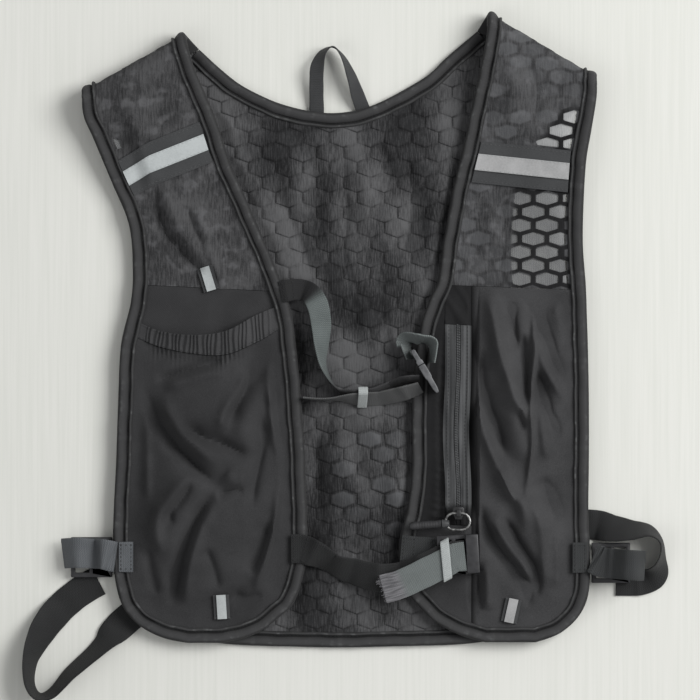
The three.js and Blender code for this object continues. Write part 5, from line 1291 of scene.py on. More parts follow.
def edgeRise(front, places):
    return smooth((front.depth(places) - vest["bindingWidth"] - 2 * gap) / pocket["hemRamp"])


def down(places):
    return (vest["length"] / 2 - places[..., 1]) / vest["length"]


def leftPuff(places):
    share = down(places)
    gape = pocket["gape"] * np.exp(-(((share - 0.5) / 0.075) ** 2))
    belly = pocket["puff"] * smooth((share - 0.46) / 0.2) * mix(1, 0.55, smooth((share - 0.75) / 0.25))
    rise = np.maximum(gape, belly) + foldRelief(places, leftFolds, pocket["foldDepth"])
    return edgeRise(leftFront, places) * np.maximum(rise, 0)


def rightPuff(places):
    share = down(places)
    belly = 8 * smooth((share - 0.44) / 0.1) * mix(1, 0.6, smooth((share - 0.75) / 0.25))
    rise = belly + foldRelief(places, rightFolds, pocket["foldDepth"])
    return edgeRise(rightFront, places) * np.maximum(rise, 0)


def overFront(front, places, wall, puff=0, under=0):
    return front.height(places) + vest["frontWall"] / 2 + under + gap + wall / 2 + puff


# the folds of the pocket cloth, finer than the solids have them
leftCloth = [
    (-7.4, 2.8, -0.3, [(136, 377), (154, 415), (173, 442), (193, 462), (218, 486)]),
    (5.1, 5.0, 0, [(160, 395), (178, 425), (200, 447), (222, 468)]),
    (-8.2, 2.9, 0.3, [(217, 492), (203, 507), (190, 531), (182, 550), (176, 575), (173, 610)]),
    (5.1, 3.4, 0, [(219, 500), (203, 524), (194, 550), (188, 580), (186, 606)]),
    (-4.1, 1.8, 0, [(216, 496), (233, 489), (249, 491)]),
    (4.7, 5.4, 0, [(226, 470), (236, 480), (248, 480)]),
    (-6.2, 3.3, 0.2, [(183, 424), (202, 437), (225, 445), (252, 458)]),
    (-8.8, 3.2, 0.2, [(266, 338), (258, 359), (247, 386), (236, 408), (226, 426)]),
    (5.6, 4.2, 0, [(252, 368), (240, 392), (226, 412), (219, 436)]),
    (-6.5, 2.0, 0.2, [(154, 381), (180, 373), (202, 366), (227, 360)]),
    (3.6, 3.4, 0, [(162, 388), (186, 381), (210, 374), (232, 374)]),
    (-5.1, 3.2, 0, [(195, 478), (182, 499), (171, 514), (177, 526)]),
    (5.6, 4.2, 0, [(196, 470), (175, 494), (160, 514), (158, 536), (166, 556)]),
    (8.0, 2.2, -0.3, [
        (272, 350), (271, 386), (275, 426), (284, 472), (280, 502), (274, 531), (265, 562), (256, 590), (261, 602),
    ]),
    (-8.5, 2.9, 0, [(278, 372), (281, 410), (285, 444), (289, 470)]),
    (-6.5, 4.2, 0, [(260, 410), (264, 437), (260, 462), (254, 490), (254, 512)]),
    (-4.1, 3.8, 0, [(206, 545), (214, 566), (220, 590)]),
    (3.6, 3.8, 0, [(143, 410), (146, 450), (147, 505)]),
    (-4.1, 3.1, 0, [(148, 545), (152, 572), (158, 596)]),
    (-5.6, 4.2, 0, [(232, 590), (246, 600), (264, 594)]),
    (-4.1, 3.1, 0, [(270, 520), (262, 548), (250, 575)]),
]  # fmt: skip
rightCloth = [
    (7.5, 4.5, 0.15, [(487, 292), (494, 324), (499, 350), (506, 373), (517, 402), (527, 419), (531, 440)]),
    (-8.7, 4.1, 0, [(482, 345), (483, 385), (491, 414), (499, 436), (504, 460)]),
    (7.9, 4.1, 0.1, [(475, 392), (480, 419), (487, 441), (497, 466), (508, 489), (520, 504), (528, 534)]),
    (2.8, 1.2, 0, [(497, 466), (505, 483), (514, 503)]),
    (4.6, 1.5, 0, [(534, 296), (533, 333), (533, 355), (531, 385), (530, 410), (531, 445), (526, 488), (524, 504)]),
    (-6.4, 3.0, 0, [(522, 330), (525, 373), (524, 393), (527, 410)]),
    (-8.2, 2.6, 0, [(536, 300), (542, 324), (550, 345), (557, 364), (569, 382)]),
    (5.9, 3.3, 0, [(535, 330), (541, 359), (551, 380), (562, 394), (570, 410)]),
    (-8.2, 2.8, 0, [(536, 368), (542, 393), (549, 414), (556, 428), (563, 438)]),
    (4.2, 3.3, 0, [(541, 404), (543, 436), (547, 462)]),
    (-3.3, 1.5, 0, [(517, 408), (520, 418), (524, 430)]),
    (-5.6, 2.6, 0, [(511, 300), (514, 330), (518, 352)]),
    (-5.6, 5.8, 0, [(540, 474), (550, 494), (562, 520)]),
    (4.2, 4.1, 0, [(524, 484), (534, 508), (541, 530), (543, 560), (542, 590)]),
    (-9.8, 3.6, 0, [(480, 500), (484, 522), (490, 538), (500, 552), (512, 568), (525, 584), (530, 610)]),
    (6.4, 3.3, 0, [(490, 517), (506, 541), (521, 561), (532, 584)]),
    (-8.7, 3.1, 0, [(500, 514), (508, 524), (517, 542), (528, 558), (536, 573), (537, 600)]),
    (5.2, 3.7, 0, [(484, 556), (487, 580), (486, 612)]),
    (-5.9, 2.8, 0, [(477, 566), (478, 590), (480, 612)]),
    (4.2, 3.3, 0, [(556, 300), (562, 330), (568, 352)]),
    (-4.2, 2.8, 0, [(568, 500), (570, 522), (572, 544)]),
    (3.6, 4.9, 0, [(553, 530), (558, 560), (556, 590)]),
]  # fmt: skip


def pocketSheet(name, u, startV, endV, rows, puffOf, node, material):
    t = unitSteps(rows)[:, None]
    uu = np.broadcast_to(u[None, :], (rows + 1, len(u)))
    v = mix(startV[None, :], endV[None, :], t)
    places = leftFront.inset(uu, v)
    grid = at(places, overFront(leftFront, places, vest["pocketWall"], puffOf(places, uu, t)))
    piece = clothPiece(name, grid, vest["pocketWall"], material, [node])
    return grid


mouthRows = np.array([
    [0, 0.461, 0.492], [0.14, 0.477, 0.519], [0.33, 0.503, 0.54], [0.55, 0.509, 0.538], [0.75, 0.503, 0.527],
    [1, 0.485, 0.508],
])  # fmt: skip


def mouthV(column, u):
    share = curveAt(mouthRows[:, [0, column]], u)[..., 1]
    return leftFront.rowAt(u, along(share))


bandRibs = {"count": 30, "height": 1.35, "start": 0.1, "end": 0.9}


def ribRun(u):  # ribs counted from the first of them
    return bandRibs["count"] * (u - bandRibs["start"]) / (bandRibs["end"] - bandRibs["start"])


def inGathers(u, fade):
    return smooth((u - bandRibs["start"]) / fade) * smooth((bandRibs["end"] - u) / fade)


def leftBodyPuff(places, u, t):
    rise = edgeRise(leftFront, places)
    soft = foldLines(places, leftCloth) + 0.3 * ripple(places[..., 0], places[..., 1], 34, 8)
    fromBand = np.clip(t / (0.045 + 0.02 * np.sin(u * 31)), 0, 1)  # small gathers run on below the band
    uneven = np.clip(0.45 + 0.5 * ripple(u * 80, t * 10, 16, 31), 0, 1)
    gather = bandRibs["height"] * 0.6 * (1 - smooth(fromBand)) * inGathers(u, 0.05) * uneven
    gather = gather * np.cos(2 * math.pi * ribRun(u))
    under = -1.0 * np.exp(-(((t - 0.015) / 0.016) ** 2))
    puff = leftPuff(places) + soft * smooth(rise * 3) + (gather + under) * smooth(rise * 4)
    return 0.5 * (puff + np.sqrt(puff**2 + 1.6 * smooth(rise * 3) ** 2))  # never below the backing, with no hard line


def bandPuff(places, u, t):
    phase = ribRun(u)
    phase = phase + 0.2 * np.sin(phase * 1.7) + 0.1 * np.sin(t * 4 + phase)
    rib = (0.5 + 0.5 * np.cos(2 * math.pi * phase)) * (0.8 + 0.2 * np.sin(phase * 2.9 + 1))
    hem = 0.5 * np.exp(-(((t - 0.04) / 0.06) ** 2)) + 0.35 * np.exp(-(((t - 0.97) / 0.05) ** 2))
    return leftPuff(places) + bandRibs["height"] * (inGathers(u, 0.04) * (1.15 * rib + 0.1) + hem * 0.6)


def pocketBacking(side, front, rumple):
    u, v = np.meshgrid(unitSteps(40), mix(front.splitV + baseGap, 1, unitSteps(90)))
    grid = front.middle(u, v)
    lower, upper = walled(grid, vest["frontWall"])
    uneven = np.maximum(rumple * ripple(grid[..., 0], grid[..., 1], 24, 17), -0.3)
    upper[..., 2] += uneven * smooth(edgeRise(front, grid[..., :2]) * 4)
    piece = sheetPiece(f"{side}_pocket_backing", lower, upper, finishes["pocketBack"])
    settle(piece, f"{side}_pocket_back", slot="pocket_cloth")


def makeLeftPockets():
    pocketBacking("left", leftFront, 0.45)
    u = unitSteps(150)
    bandEnd = mouthV(2, u)
    pocketSheet(
        "left_pocket_cloth", u, bandEnd + baseGap, 0 * u + pocket["foot"], 190,
        leftBodyPuff, "left_bottle_pocket", "pocket",
    )  # fmt: skip
    u = unitSteps(360)
    grid = pocketSheet(
        "left_band_cloth", u, mouthV(1, u), mouthV(2, u), 16, bandPuff, "left_pocket_band", "mouthBand",
    )  # fmt: skip
    sewn("band", grid[-2, 20:-20:3], 0.62)


makeLeftPockets()
print("left pockets made")

zipper = {
    "x": 0.447 * vest["halfWidth"], "tape": 7.5, "teeth": 2.6, "slider": (8, 9, 2.4), "ring": (17, 11.5), "wire": 0.9,
}  # fmt: skip
ribbon = {"upper": 15, "lower": 20, "side": 21, "loop": 10, "wall": 1.3}  # widths of the webbing, and its wall
lowerBuckle = {"centre": spot(0.445, 0.856), "length": 29, "lip": 9, "lipRise": 4.6, "turn": 3}
frameBar, frameWall = 3.2, 3.4
lowerFrameWidth = ribbon["lower"] + 2 * (gap + frameBar)
zipTopY = along(0.493)
zipEndY = (
    lowerBuckle["centre"][1] + lowerFrameWidth / 2 + 2.7 + zipper["wire"] + zipper["ring"][1]
    + zipper["slider"][1] / 2 + gap
)  # fmt: skip
tapeInnerX = zipper["x"] - zipper["teeth"] / 2 - gap - zipper["tape"]
tapeOuterX = zipper["x"] + zipper["teeth"] / 2 + gap + zipper["tape"]
rightBaseV = float(rightFront.rowAt(0.5, along(0.812)))
rightTopV = rightFront.splitV + baseGap
zipCapV = float(rightFront.rowAt(0.2, zipTopY))


def zipBow(y):  # how the zip strays sideways between its ends
    t = np.clip((zipTopY - y) / (zipTopY - zipEndY), 0, 1)
    return np.sin(math.pi * t) ** 2 * (0.9 * np.sin(t * 7) - 1.1)


def shareAtX(v, x):
    a, b = rightFront.inset(0 * v, v)[..., 0], rightFront.inset(0 * v + 1, v)[..., 0]
    return (x - a) / (b - a)


def rightStrip(name, fromX, toX, startV, endV, columns, rows, extra, nodes, material):
    v = np.linspace(startV, endV, rows + 1)
    bow = zipBow(rightFront.plan(0.3, v)[..., 1])
    a = 0 * v if fromX is None else np.clip(shareAtX(v, fromX + bow), 0, 1)
    b = 0 * v + 1 if toX is None else np.clip(shareAtX(v, toX + bow), 0, 1)
    t = unitSteps(columns)
    u = mix(a[:, None], b[:, None], t[None, :])
    places = rightFront.inset(u, np.broadcast_to(v[:, None], u.shape))
    puff = np.maximum(rightPuff(places) + extra(places, np.broadcast_to(t, u.shape)), 0)
    grid = at(places, overFront(rightFront, places, vest["pocketWall"], puff))
    piece = clothPiece(name, grid, vest["pocketWall"], material, nodes)
    return grid


def rightWrinkles(places, _):
    rise = smooth(edgeRise(rightFront, places) * 3)
    x, y = places[..., 0], places[..., 1]
    turned = 1 - smooth((x - tapeOuterX - 3.2) / 2.6)  # the cloth dips beside the zip
    groove = -7 * turned * mix(0.3, 1, smooth((y + 195) / 60))
    return rise * (foldLines(places, rightCloth) * (1 - turned) + 0.3 * ripple(x, y, 30, 12) + groove)


def gussetWrinkles(places, t):
    y = places[..., 1]
    rise = smooth(edgeRise(rightFront, places) * 4)
    wave = np.sin(y / 0.95 + 1.9 * np.sin(y / 9) + 3.5 * t) * (0.7 + 0.3 * np.sin(y / 4.1 + 1))
    wave = wave * (0.3 + 0.7 * np.sin(math.pi * np.clip(t, 0, 1)) ** 1.2)
    furrow = -2.2 * np.exp(-(((t - 0.86) / 0.1) ** 2)) + 1.4 * np.exp(-(((t - 0.62) / 0.12) ** 2))
    return rise * (1.25 * wave + furrow + 0.4 * ripple(places[..., 0], y, 25, 14))


def zipWave(y):
    inside = smooth((zipTopY - y) / 10) * smooth((y - zipEndY) / 14)
    return inside * (0.5 * np.sin(y / 8.5 + 1) + 0.35 * np.sin(y / 4.6))


def sunkEnd(y):  # its end goes down under the slider
    return 3.5 * smooth((-121 - y) / 8)


def tapeRidges(places, t):
    y = places[..., 1]
    return 0.24 * np.sin(t * 2 * math.pi * 1.3 + 0.6) - sunkEnd(y) + zipWave(y + 3 * np.sin(t * 3)) * 1.2


def outerTapeRidges(places, t):  # its far edge drops beside the pocket
    return tapeRidges(places, t) - 3.6 * smooth((t - 0.72) / 0.24)


def baseWrinkles(places, t):
    rise = smooth(edgeRise(rightFront, places) * 3)
    return (0.5 * ripple(places[..., 0], places[..., 1], 26, 15) - 2.5 * smooth((t - 0.9) / 0.1)) * rise


def capWrinkles(places, t):
    return 0.7 * np.sin(t * 9 + places[..., 1] / 3) - 2.5 * smooth((t - 0.85) / 0.15)


def makeRightPockets():
    pocketBacking("right", rightFront, 0)
    rightStrip(
        "right_gusset_cloth", None, tapeInnerX - gap, rightTopV, rightBaseV, 26, 260, gussetWrinkles,
        ["right_zip_gusset"], "gusset",
    )  # fmt: skip
    rightStrip(
        "right_pocket_cloth", tapeOuterX + gap, None, rightTopV, pocket["foot"], 120, 320, rightWrinkles,
        ["right_pocket", "right_pocket_base"], "rightPocket",
    )  # fmt: skip
    rightStrip(
        "right_base_cloth", None, tapeOuterX, rightBaseV + baseGap, 0.955, 60, 70, baseWrinkles,
        [], "pocket",
    )  # fmt: skip
    rightStrip(
        "zip_cap_cloth", tapeInnerX, tapeOuterX, rightTopV, zipCapV - baseGap, 24, 20, capWrinkles,
        ["zip_cap"], "gusset",
    )  # fmt: skip
    width = zipper["tape"]
    for name, a, b, ridges, node, column in (
        ("zip_tape_inside", tapeInnerX, tapeInnerX + width, tapeRidges, "zip_tape_inner", 9),
        ("zip_tape_outside", tapeOuterX - width, tapeOuterX, outerTapeRidges, "zip_tape_outer", 16),
    ):
        grid = rightStrip(
            name, a, b, zipCapV, rightBaseV, 26, 130, ridges, [node], "zipTape"
        )
        sewn("zip", grid[2:-2:2, column], 0.6)


makeRightPockets()
print("right pockets made")


# reflective bands and tabs


def rowBetweenLips(front, a, b, columns):
    span = b - a
    middle = a + span * 0.5
    ends = []
    for sign in (-1, 1):
        low, high = 0.0, 0.75
        for _ in range(20):
            half = (low + high) / 2
            if front.depth(middle + span * sign * half) > lipInside + gap:
                low = half
            else:
                high = half
        ends.append(sign * low)
    return middle + span * mix(ends[0], ends[1], unitSteps(columns))[:, None]


def bandSheet(name, front, ends, height, under, material, node, slot, thread):
    a, b = spot(*ends[:2]), spot(*ends[2:])
    run = unit(b - a)
    sideways = np.array([-run[1], run[0]])
    grid = []
    for share in np.linspace(-0.5, 0.5, 19):
        places = rowBetweenLips(front, a + sideways * share * height, b + sideways * share * height, 50)
        if front.kink:  # it bends where the padded mesh buckles
            places[:, 1] -= 0.2 * np.maximum(framePlace(*front.kink[0])[0] + 3 - places[:, 0], 0)
        wave = 0.16 * ripple(places[:, 0], places[:, 1], 26, 21)
        grid.append(at(places, overFront(front, places, vest["tapeWall"], vest["drape"], under) + wave))
    grid = np.array(grid)
    piece = clothPiece(name, grid, vest["tapeWall"], material, [node], slot)
    for row in (1, -2):
        sewn(thread, grid[row, 1:-1], 0.62 if thread == "tape" else 0.6)


overTape = vest["tapeWall"] + gap
for side, front, ends, silver in (
    ("left", leftFront, leftBand, "silverLeft"),
    ("right", rightFront, rightBand, "silverRight"),
):
    names = [f"{side}_shoulder_{word}" for word in ("mesh", "tape", "stripe")]
    bandSheet(
        f"{side}_black_band", front, ends, band["height"], 0, "blackTape", names[1], "pocket_cloth", "tape"
    )
    bandSheet(
        f"{side}_silver_band", front, ends, band["stripe"], overTape, silver, names[2], "silver_tape",
        "silver",
    )  # fmt: skip

tab = {"width": 11, "stripe": 6.5, "length": 17}


def tabSheet(name, front, puff, base, centre, lean, width, under, material, slot, node):
    turn = math.radians(lean)
    rows, columns = 26, 14
    t, share = np.meshgrid(unitSteps(rows), np.linspace(-0.5, 0.5, columns + 1), indexing="ij")
    x, y = share * width, (0.5 - t) * tab["length"]
    places = np.stack([x * math.cos(turn) - y * math.sin(turn), x * math.sin(turn) + y * math.cos(turn)], axis=-1)
    places = places + centre
    crown = 0.25 * np.sin(math.pi * t) * np.cos(math.pi * share * 0.9)
    z = overFront(front, places, vest["tapeWall"], puff(places) + vest["drape"], base + gap + under) + crown
    grid = at(places, z)
    piece = clothPiece(name, grid, vest["tapeWall"], material, [node], slot)
    if material == "blackTape":
        width * mm
        for row in (1, -2):
            sewn("tape", grid[row, 1:-1], 0.62)


def noPuff(_):
    return 0


tabs = [
    ("left_shoulder_tab", leftFront, noPuff, -gap, (-0.523, 0.42), 17, "silverLeft"),
    ("left_pocket_tab", leftFront, leftPuff, vest["pocketWall"], (-0.47, 0.94), 3, "silverLeft"),
    ("right_pocket_tab", rightFront, rightPuff, vest["pocketWall"], (0.652, 0.946), -12, "silverRight"),
]
for name, front, puff, base, centre, lean, silver in tabs:
    where = (front, puff, base, spot(*centre), lean)
    tabSheet(name + "_cloth", *where, tab["width"], 0, "blackTape", "pocket_cloth", name)
    tabSheet(name + "_silver", *where, tab["stripe"], overTape, silver, "silver_tape", name + "_stripe")
print("bands and tabs made")


# what lies under a strap


def frontTop(front, places, puff, pocketFrom):
    depth = front.depth(places)
    cloth = front.height(places) + vest["frontWall"] / 2
    inPocket = np.where(down(places) > pocketFrom, 1.0, 0.0)
    layer = inPocket * (gap + vest["pocketWall"])
    top = np.where(depth < lipInside + gap, cloth + gap + layer + bindingCrown, cloth + layer + inPocket * puff(places))
    return np.where(depth < -(vest["bindingWall"] + 3 * gap), 0, top)


def topAt(places):
    depth = depthInside(backOutline, places)
    top = np.where(depth < -vest["bindingWidth"] - 3 * gap, 0, backBindingTop)
    top = np.where(depth > lipInside + 2, vest["backWall"] + 0.4, top)
    left = frontTop(leftFront, places, leftPuff, 0.44)
    return np.maximum.reduce([top, left, frontTop(rightFront, places, rightPuff, 0.45)])


def footprintTop(centre, reachX, reachY):
    x, y = np.meshgrid(np.linspace(-1, 1, 5) * reachX, np.linspace(-1, 1, 5) * reachY)
    return float(topAt(np.stack([centre[0] + x, centre[1] + y], axis=-1)).max())


# straps


class Strap:  # stations as in the solid, then a finer ribbon through them
    def __init__(self, rows, width, wall, count, ground=topAt):
        rows = np.array(rows, float)
        flat = spots(rows[:, :2])
        t = unitSteps(count)
        place = routeAt(flat, t)
        tangent = routeTangent(flat, t)
        tips = routeAt(rows[:, 2:], t)
        tip = np.radians(tips[:, 0])
        side = np.stack([-tangent[:, 1] * np.cos(tip), tangent[:, 0] * np.cos(tip), np.sin(tip)], axis=1)
        reach = np.linspace(-0.5, 0.5, 5) * width
        under = ground(place[:, None] + side[:, None, :2] * reach[:, None]).max(axis=1)
        lift = (np.abs(np.sin(tip)) * width + np.abs(np.cos(tip)) * wall) / 2 + gap + tips[:, 1] * 10
        n = len(t)
        high = np.array([under[max(i - 2, 0) : i + 3].max() for i in range(n)])
        z = np.array([high[max(i - 1, 0) : i + 2].mean() for i in range(n)]) + lift
        self.points = at(place, z)
        self.outs = squareTo(unit(np.gradient(self.points, axis=0)), side)
        self.width, self.wall = width, wall

    def top(self, places):
        best = np.zeros(places.shape[:-1])
        for point, out in zip(self.points, self.outs):
            near = np.linalg.norm(places - point[:2], axis=-1) < self.width * 0.75
            best = np.maximum(best, near * (point[2] + abs(out[2]) * self.width / 2 + self.wall / 2))
        return best

    def nearest(self, x):
        start = int(len(self.points) * 0.3)
        i = start + int(np.argmin(np.abs(self.points[start:, 0] - x)))
        way = unit(np.gradient(self.points, axis=0))[i]
        return self.points[i], self.outs[i], np.cross(self.outs[i], way)

    def fine(self):
        t = unitSteps((len(self.points) - 1) * 7)
        points, outs = routeAt(self.points, t), unit(routeAt(self.outs, t))
        way = unit(np.gradient(points, axis=0))
        outs = squareTo(way, outs)
        return points, outs, np.cross(outs, way)

    def make(self, name, node, material, slot):
        points, outs, ups = self.fine()
        half, wall = self.width / 2, self.wall / 2
        across = np.array([-1, -0.97, -0.85, -0.6, -0.3, 0, 0.3, 0.6, 0.85, 0.97, 1.0])
        thick = np.array([0.35, 0.75, 1, 0.96, 1, 0.97, 1, 0.96, 1, 0.75, 0.35])
        top = [(a * half, h * wall) for a, h in zip(across, thick)]
        under = [(a * half, -h * wall) for a, h in zip(across[::-1], thick[::-1])]
        section = np.array(top + under)
        run = lengths(points)
        edge = 0.12 * np.sin(run / 2.3) + 0.1 * np.sin(run / 5.1 + 1)
        rings, uv = [], []
        for i in range(len(points)):
            s = section[:, 0] * (1 + edge[i] / half * 0.6)
            rings.append(points[i] + outs[i] * s[:, None] + ups[i] * section[:, 1:])
            uv += [(a, run[i]) for a in section[:, 0]]
        settle(sweepPiece(name, np.array(rings), finishes[material], uv), node, slot=slot)

    def stitches(self, start, end):  # a sewn box between two places along the strap
        points, outs, ups = self.fine()
        run = lengths(points)
        pick = (run >= start) & (run <= end)
        points, outs, ups = points[pick], outs[pick], ups[pick]
        if (ups[:, 2] < 0).all():
            ups = -ups
        half = self.width / 2 - 2.2
        lift = ups * (self.wall / 2 + 0.1)
        for sign in (-1, 1):
            stitchRuns.append(("dark", points + outs * half * sign + lift, ups))
        for i in (0, -1):
            line = points[i] + outs[i] * np.linspace(-half, half, 12)[:, None] + lift[i]
            stitchRuns.append(("dark", line, ups[i]))


class EdgeStrap(Strap):  # a strap on edge, from its lower and its upper line in the picture's frame
    def __init__(self, rows, width, wall, count):
        rows = np.array(rows, float)
        t = unitSteps(count)
        foot = routeAt(np.array([framePlace(*row[:2]) for row in rows]), t)
        head = routeAt(np.array([framePlace(*row[2:]) for row in rows]), t)
        rise = np.sqrt(np.maximum(width**2 - ((head - foot) ** 2).sum(axis=1), 4))
        under = topAt(foot)
        high = np.array([under[max(i - 4, 0) : i + 5].max() for i in range(count + 1)])
        z = blurred(high, 4) + wall / 2 + gap
        low, top = at(foot, z), at(head, z + rise)
        self.points = (low + top) / 2
        self.outs = squareTo(unit(np.gradient(self.points, axis=0)), unit(top - low))
        self.width, self.wall = width, wall


upperRows = [
    [-0.24, 0.441, 0, 0.03], [-0.183, 0.437, 0, 0.15], [-0.132, 0.442, -6, 0.6], [-0.1, 0.46, -10, 0.85],
    [-0.085, 0.49, -20, 0.85], [-0.083, 0.525, -50, 0.6], [-0.077, 0.555, -74, 0.35], [-0.05, 0.58, -86, 0.15],
    [-0.012, 0.598, -96, 0.05], [0.035, 0.604, -118, 0.3], [0.078, 0.6055, -128, 0.35],
    [0.128, 0.601, -122, 0.3], [0.187, 0.59, -114, 0.03], [0.245, 0.581, -112, 0.03], [0.296, 0.579, -112, 0.03],
]  # fmt: skip
upperTailRows = [
    [-0.155, 0.6085, -92, 0.03], [-0.09, 0.611, -94, 0.03], [-0.03, 0.6105, -98, 0.03],
    [0.035, 0.6105, -118, 0.3], [0.078, 0.6105, -128, 0.35], [0.14, 0.61, -130, 0.25], [0.22, 0.603, -130, 0.03],
    [0.27, 0.597, -128, 0.03], [0.3, 0.592, -122, 0.03],
]  # fmt: skip
upperAnchorRows = [
    [430, 362, 434, 363], [430, 352, 436, 352], [428, 345, 437, 342], [424, 343, 432, 337], [420, 342.5, 424, 335.5],
    [415, 343, 414, 333.5], [412, 345, 405, 333], [411, 348, 400, 338], [412, 354, 402, 348], [414, 360, 406, 358],
]  # fmt: skip
upper = Strap(upperRows, ribbon["upper"], ribbon["wall"], 36)
upperTail = Strap(upperTailRows, ribbon["upper"], ribbon["wall"], 19)
upperAnchor = EdgeStrap(upperAnchorRows, ribbon["upper"], ribbon["wall"], 30)
upper.make("upper_strap_webbing", "upper_strap", "upperWebbing", "chest_webbing")
upper.stitches(1.5, 9)
upperTail.make("upper_tail_webbing", "upper_tail", "tailWebbing", "chest_webbing")
upperAnchor.make("upper_anchor_webbing", "upper_anchor", "webbing", "dark_webbing")


keeper = {"length": 6.6, "wall": 0.9}


def bandLoop(name, x, first, second, node, skew=0.0):  # a keeper round two plies
    length, wall = keeper["length"], keeper["wall"]
    p1, *_ = first.nearest(x)
    p2, out2, up2 = second.nearest(x)
    centre = (p1 + p2) / 2
    wide = first.width + abs((p2 - p1) @ out2) + 5 * gap + wall
    deep = abs((p2 - p1) @ up2) + ribbon["wall"] + 6 * gap + wall
    way = np.cross(out2, up2)
    corner = min(deep, wide) * 0.42
    ring = []
    for sx, sy, start in ((1, 1, 0), (-1, 1, 90), (-1, -1, 180), (1, -1, 270)):
        for angle in np.radians(np.linspace(start, start + 90, 9)):
            ring.append([
                sx * (wide / 2 - corner) + corner * math.cos(angle),
                sy * (deep / 2 - corner) + corner * math.sin(angle),
            ])  # fmt: skip
    ring = np.array(ring)
    chord = np.roll(ring, -1, axis=0) - np.roll(ring, 1, axis=0)
    normals = unit(np.stack([chord[:, 1], -chord[:, 0]], axis=1))
    section = [(-0.5, 0.3), (-0.46, 0.46), (-0.3, 0.5), (0.3, 0.5), (0.46, 0.46), (0.5, 0.3)]
    section += [(a, -h) for a, h in section[::-1]]
    slide = way * np.sign(way[0]) * np.sign(out2[1]) * skew
    rings, uv = [], []
    run = lengths(np.vstack([ring, ring[:1]]))[:-1]
    for i, (p, n) in enumerate(zip(ring, normals)):
        rings.append([
            centre + (out2 + slide) * (p[0] + n[0] * h * wall) + up2 * (p[1] + n[1] * h * wall) + way * a * length
            for a, h in section
        ])  # fmt: skip
        uv += [(a * length, run[i]) for a, h in section]
    piece = sweepPiece(name, np.array(rings), finishes["elastic"], uv, closed=True)
    settle(piece, node, slot="light_elastic")


bandLoop("upper_keeper_band", 0.078 * vest["halfWidth"], upper, upperTail, "upper_keeper")


# plastic parts


def prism(name, outline, low, high, material, bevel):
    mesh = bmesh.new()
    ring = [mesh.verts.new((x * mm, y * mm, low * mm)) for x, y in outline]
    face = mesh.faces.new(ring)
    raised = bmesh.ops.extrude_face_region(mesh, geom=[face])
    moved = [v for v in raised["geom"] if isinstance(v, bmesh.types.BMVert)]
    bmesh.ops.translate(mesh, verts=moved, vec=(0, 0, (high - low) * mm))
    bmesh.ops.recalc_face_normals(mesh, faces=mesh.faces)
    data = bpy.data.meshes.new(name)
    mesh.to_mesh(data)
    mesh.free()
    data.materials.append(material)
    piece = bpy.data.objects.new(name, data)
    scene.collection.objects.link(piece)
    if bevel:
        softened(piece, bevel)
    return piece


def softShaded(piece):
    piece.data.shade_smooth()
    piece.data.set_sharp_from_angle(angle=math.radians(50))


def softened(piece, width):  # its edges rounded
    modifier = piece.modifiers.new("round", "BEVEL")
    modifier.width = width * mm
    modifier.segments = 3
    modifier.limit_method = "ANGLE"
    modifier.angle_limit = math.radians(35)
    modifier.harden_normals = False
    baked(piece)
    softShaded(piece)


def turnedBy(places, turn):
    c, s = math.cos(turn), math.sin(turn)
    return np.array(places) @ np.array([[c, s], [-s, c]])


def block(width, depth, x=0.0, y=0.0, turn=0.0):  # a rectangle's corners, turned and set in place
    corners = np.array([[-1, -1], [1, -1], [1, 1], [-1, 1]]) * [width / 2, depth / 2]
    return turnedBy(corners, turn) + [x, y]


def joined(name, pieces, mode="UNION"):
    first = pieces[0]
    for other in pieces[1:]:
        carve(first, other, mode)
    first.name = name
    first.data.name = name
    softShaded(first)
    return first


buckleTop, buckleEnd = spot(0.268, 0.533), spot(0.366, 0.6)
buckleGround = float(topAt(buckleTop + (buckleEnd - buckleTop) * unitSteps(8)[:, None]).max()) + gap
buckleHeight = 18


def uprightBuckle(name, sides, node, ribs=()):
    way = buckleEnd - buckleTop
    long = np.linalg.norm(way)
    turn = math.atan2(way[1], way[0])
    outline = [(d * long, h) for d, h in sides] + [(d * long, -h) for d, h in sides[::-1]]
    outline = (turnedBy(outline, turn) + buckleTop)[::-1]
    body = prism(name, outline, buckleGround, buckleGround + buckleHeight, finishes["palePlastic"], 0.5)
    for d, half in ribs:
        low, high = buckleGround + 3, buckleGround + buckleHeight - 3
        for sign in (-1, 1):
            bar = turnedBy(block(1.0, 0.5, d * long, sign * (half + 0.12)), turn) + buckleTop
            carve(body, prism("rib", bar, low, high, finishes["palePlastic"], 0), "UNION")
    settle(joined(name, [body]), node, slot="buckle_plastic")


uprightBuckle(
    "upper_buckle_tongue", [(0.0, 1.15), (0.04, 1.6), (0.24, 1.6), (0.26, 2.3), (0.34, 2.3)], "upper_buckle_plug"
)
uprightBuckle(
    "upper_buckle_body",
    [(0.35, 2.1), (0.37, 2.4), (0.64, 2.4), (0.67, 1.85), (0.9, 1.7), (0.97, 1.2), (1.0, 0.8)],
    "upper_buckle_socket",
    [(0.42, 2.3), (0.47, 2.3), (0.52, 2.3), (0.57, 2.3)],
)


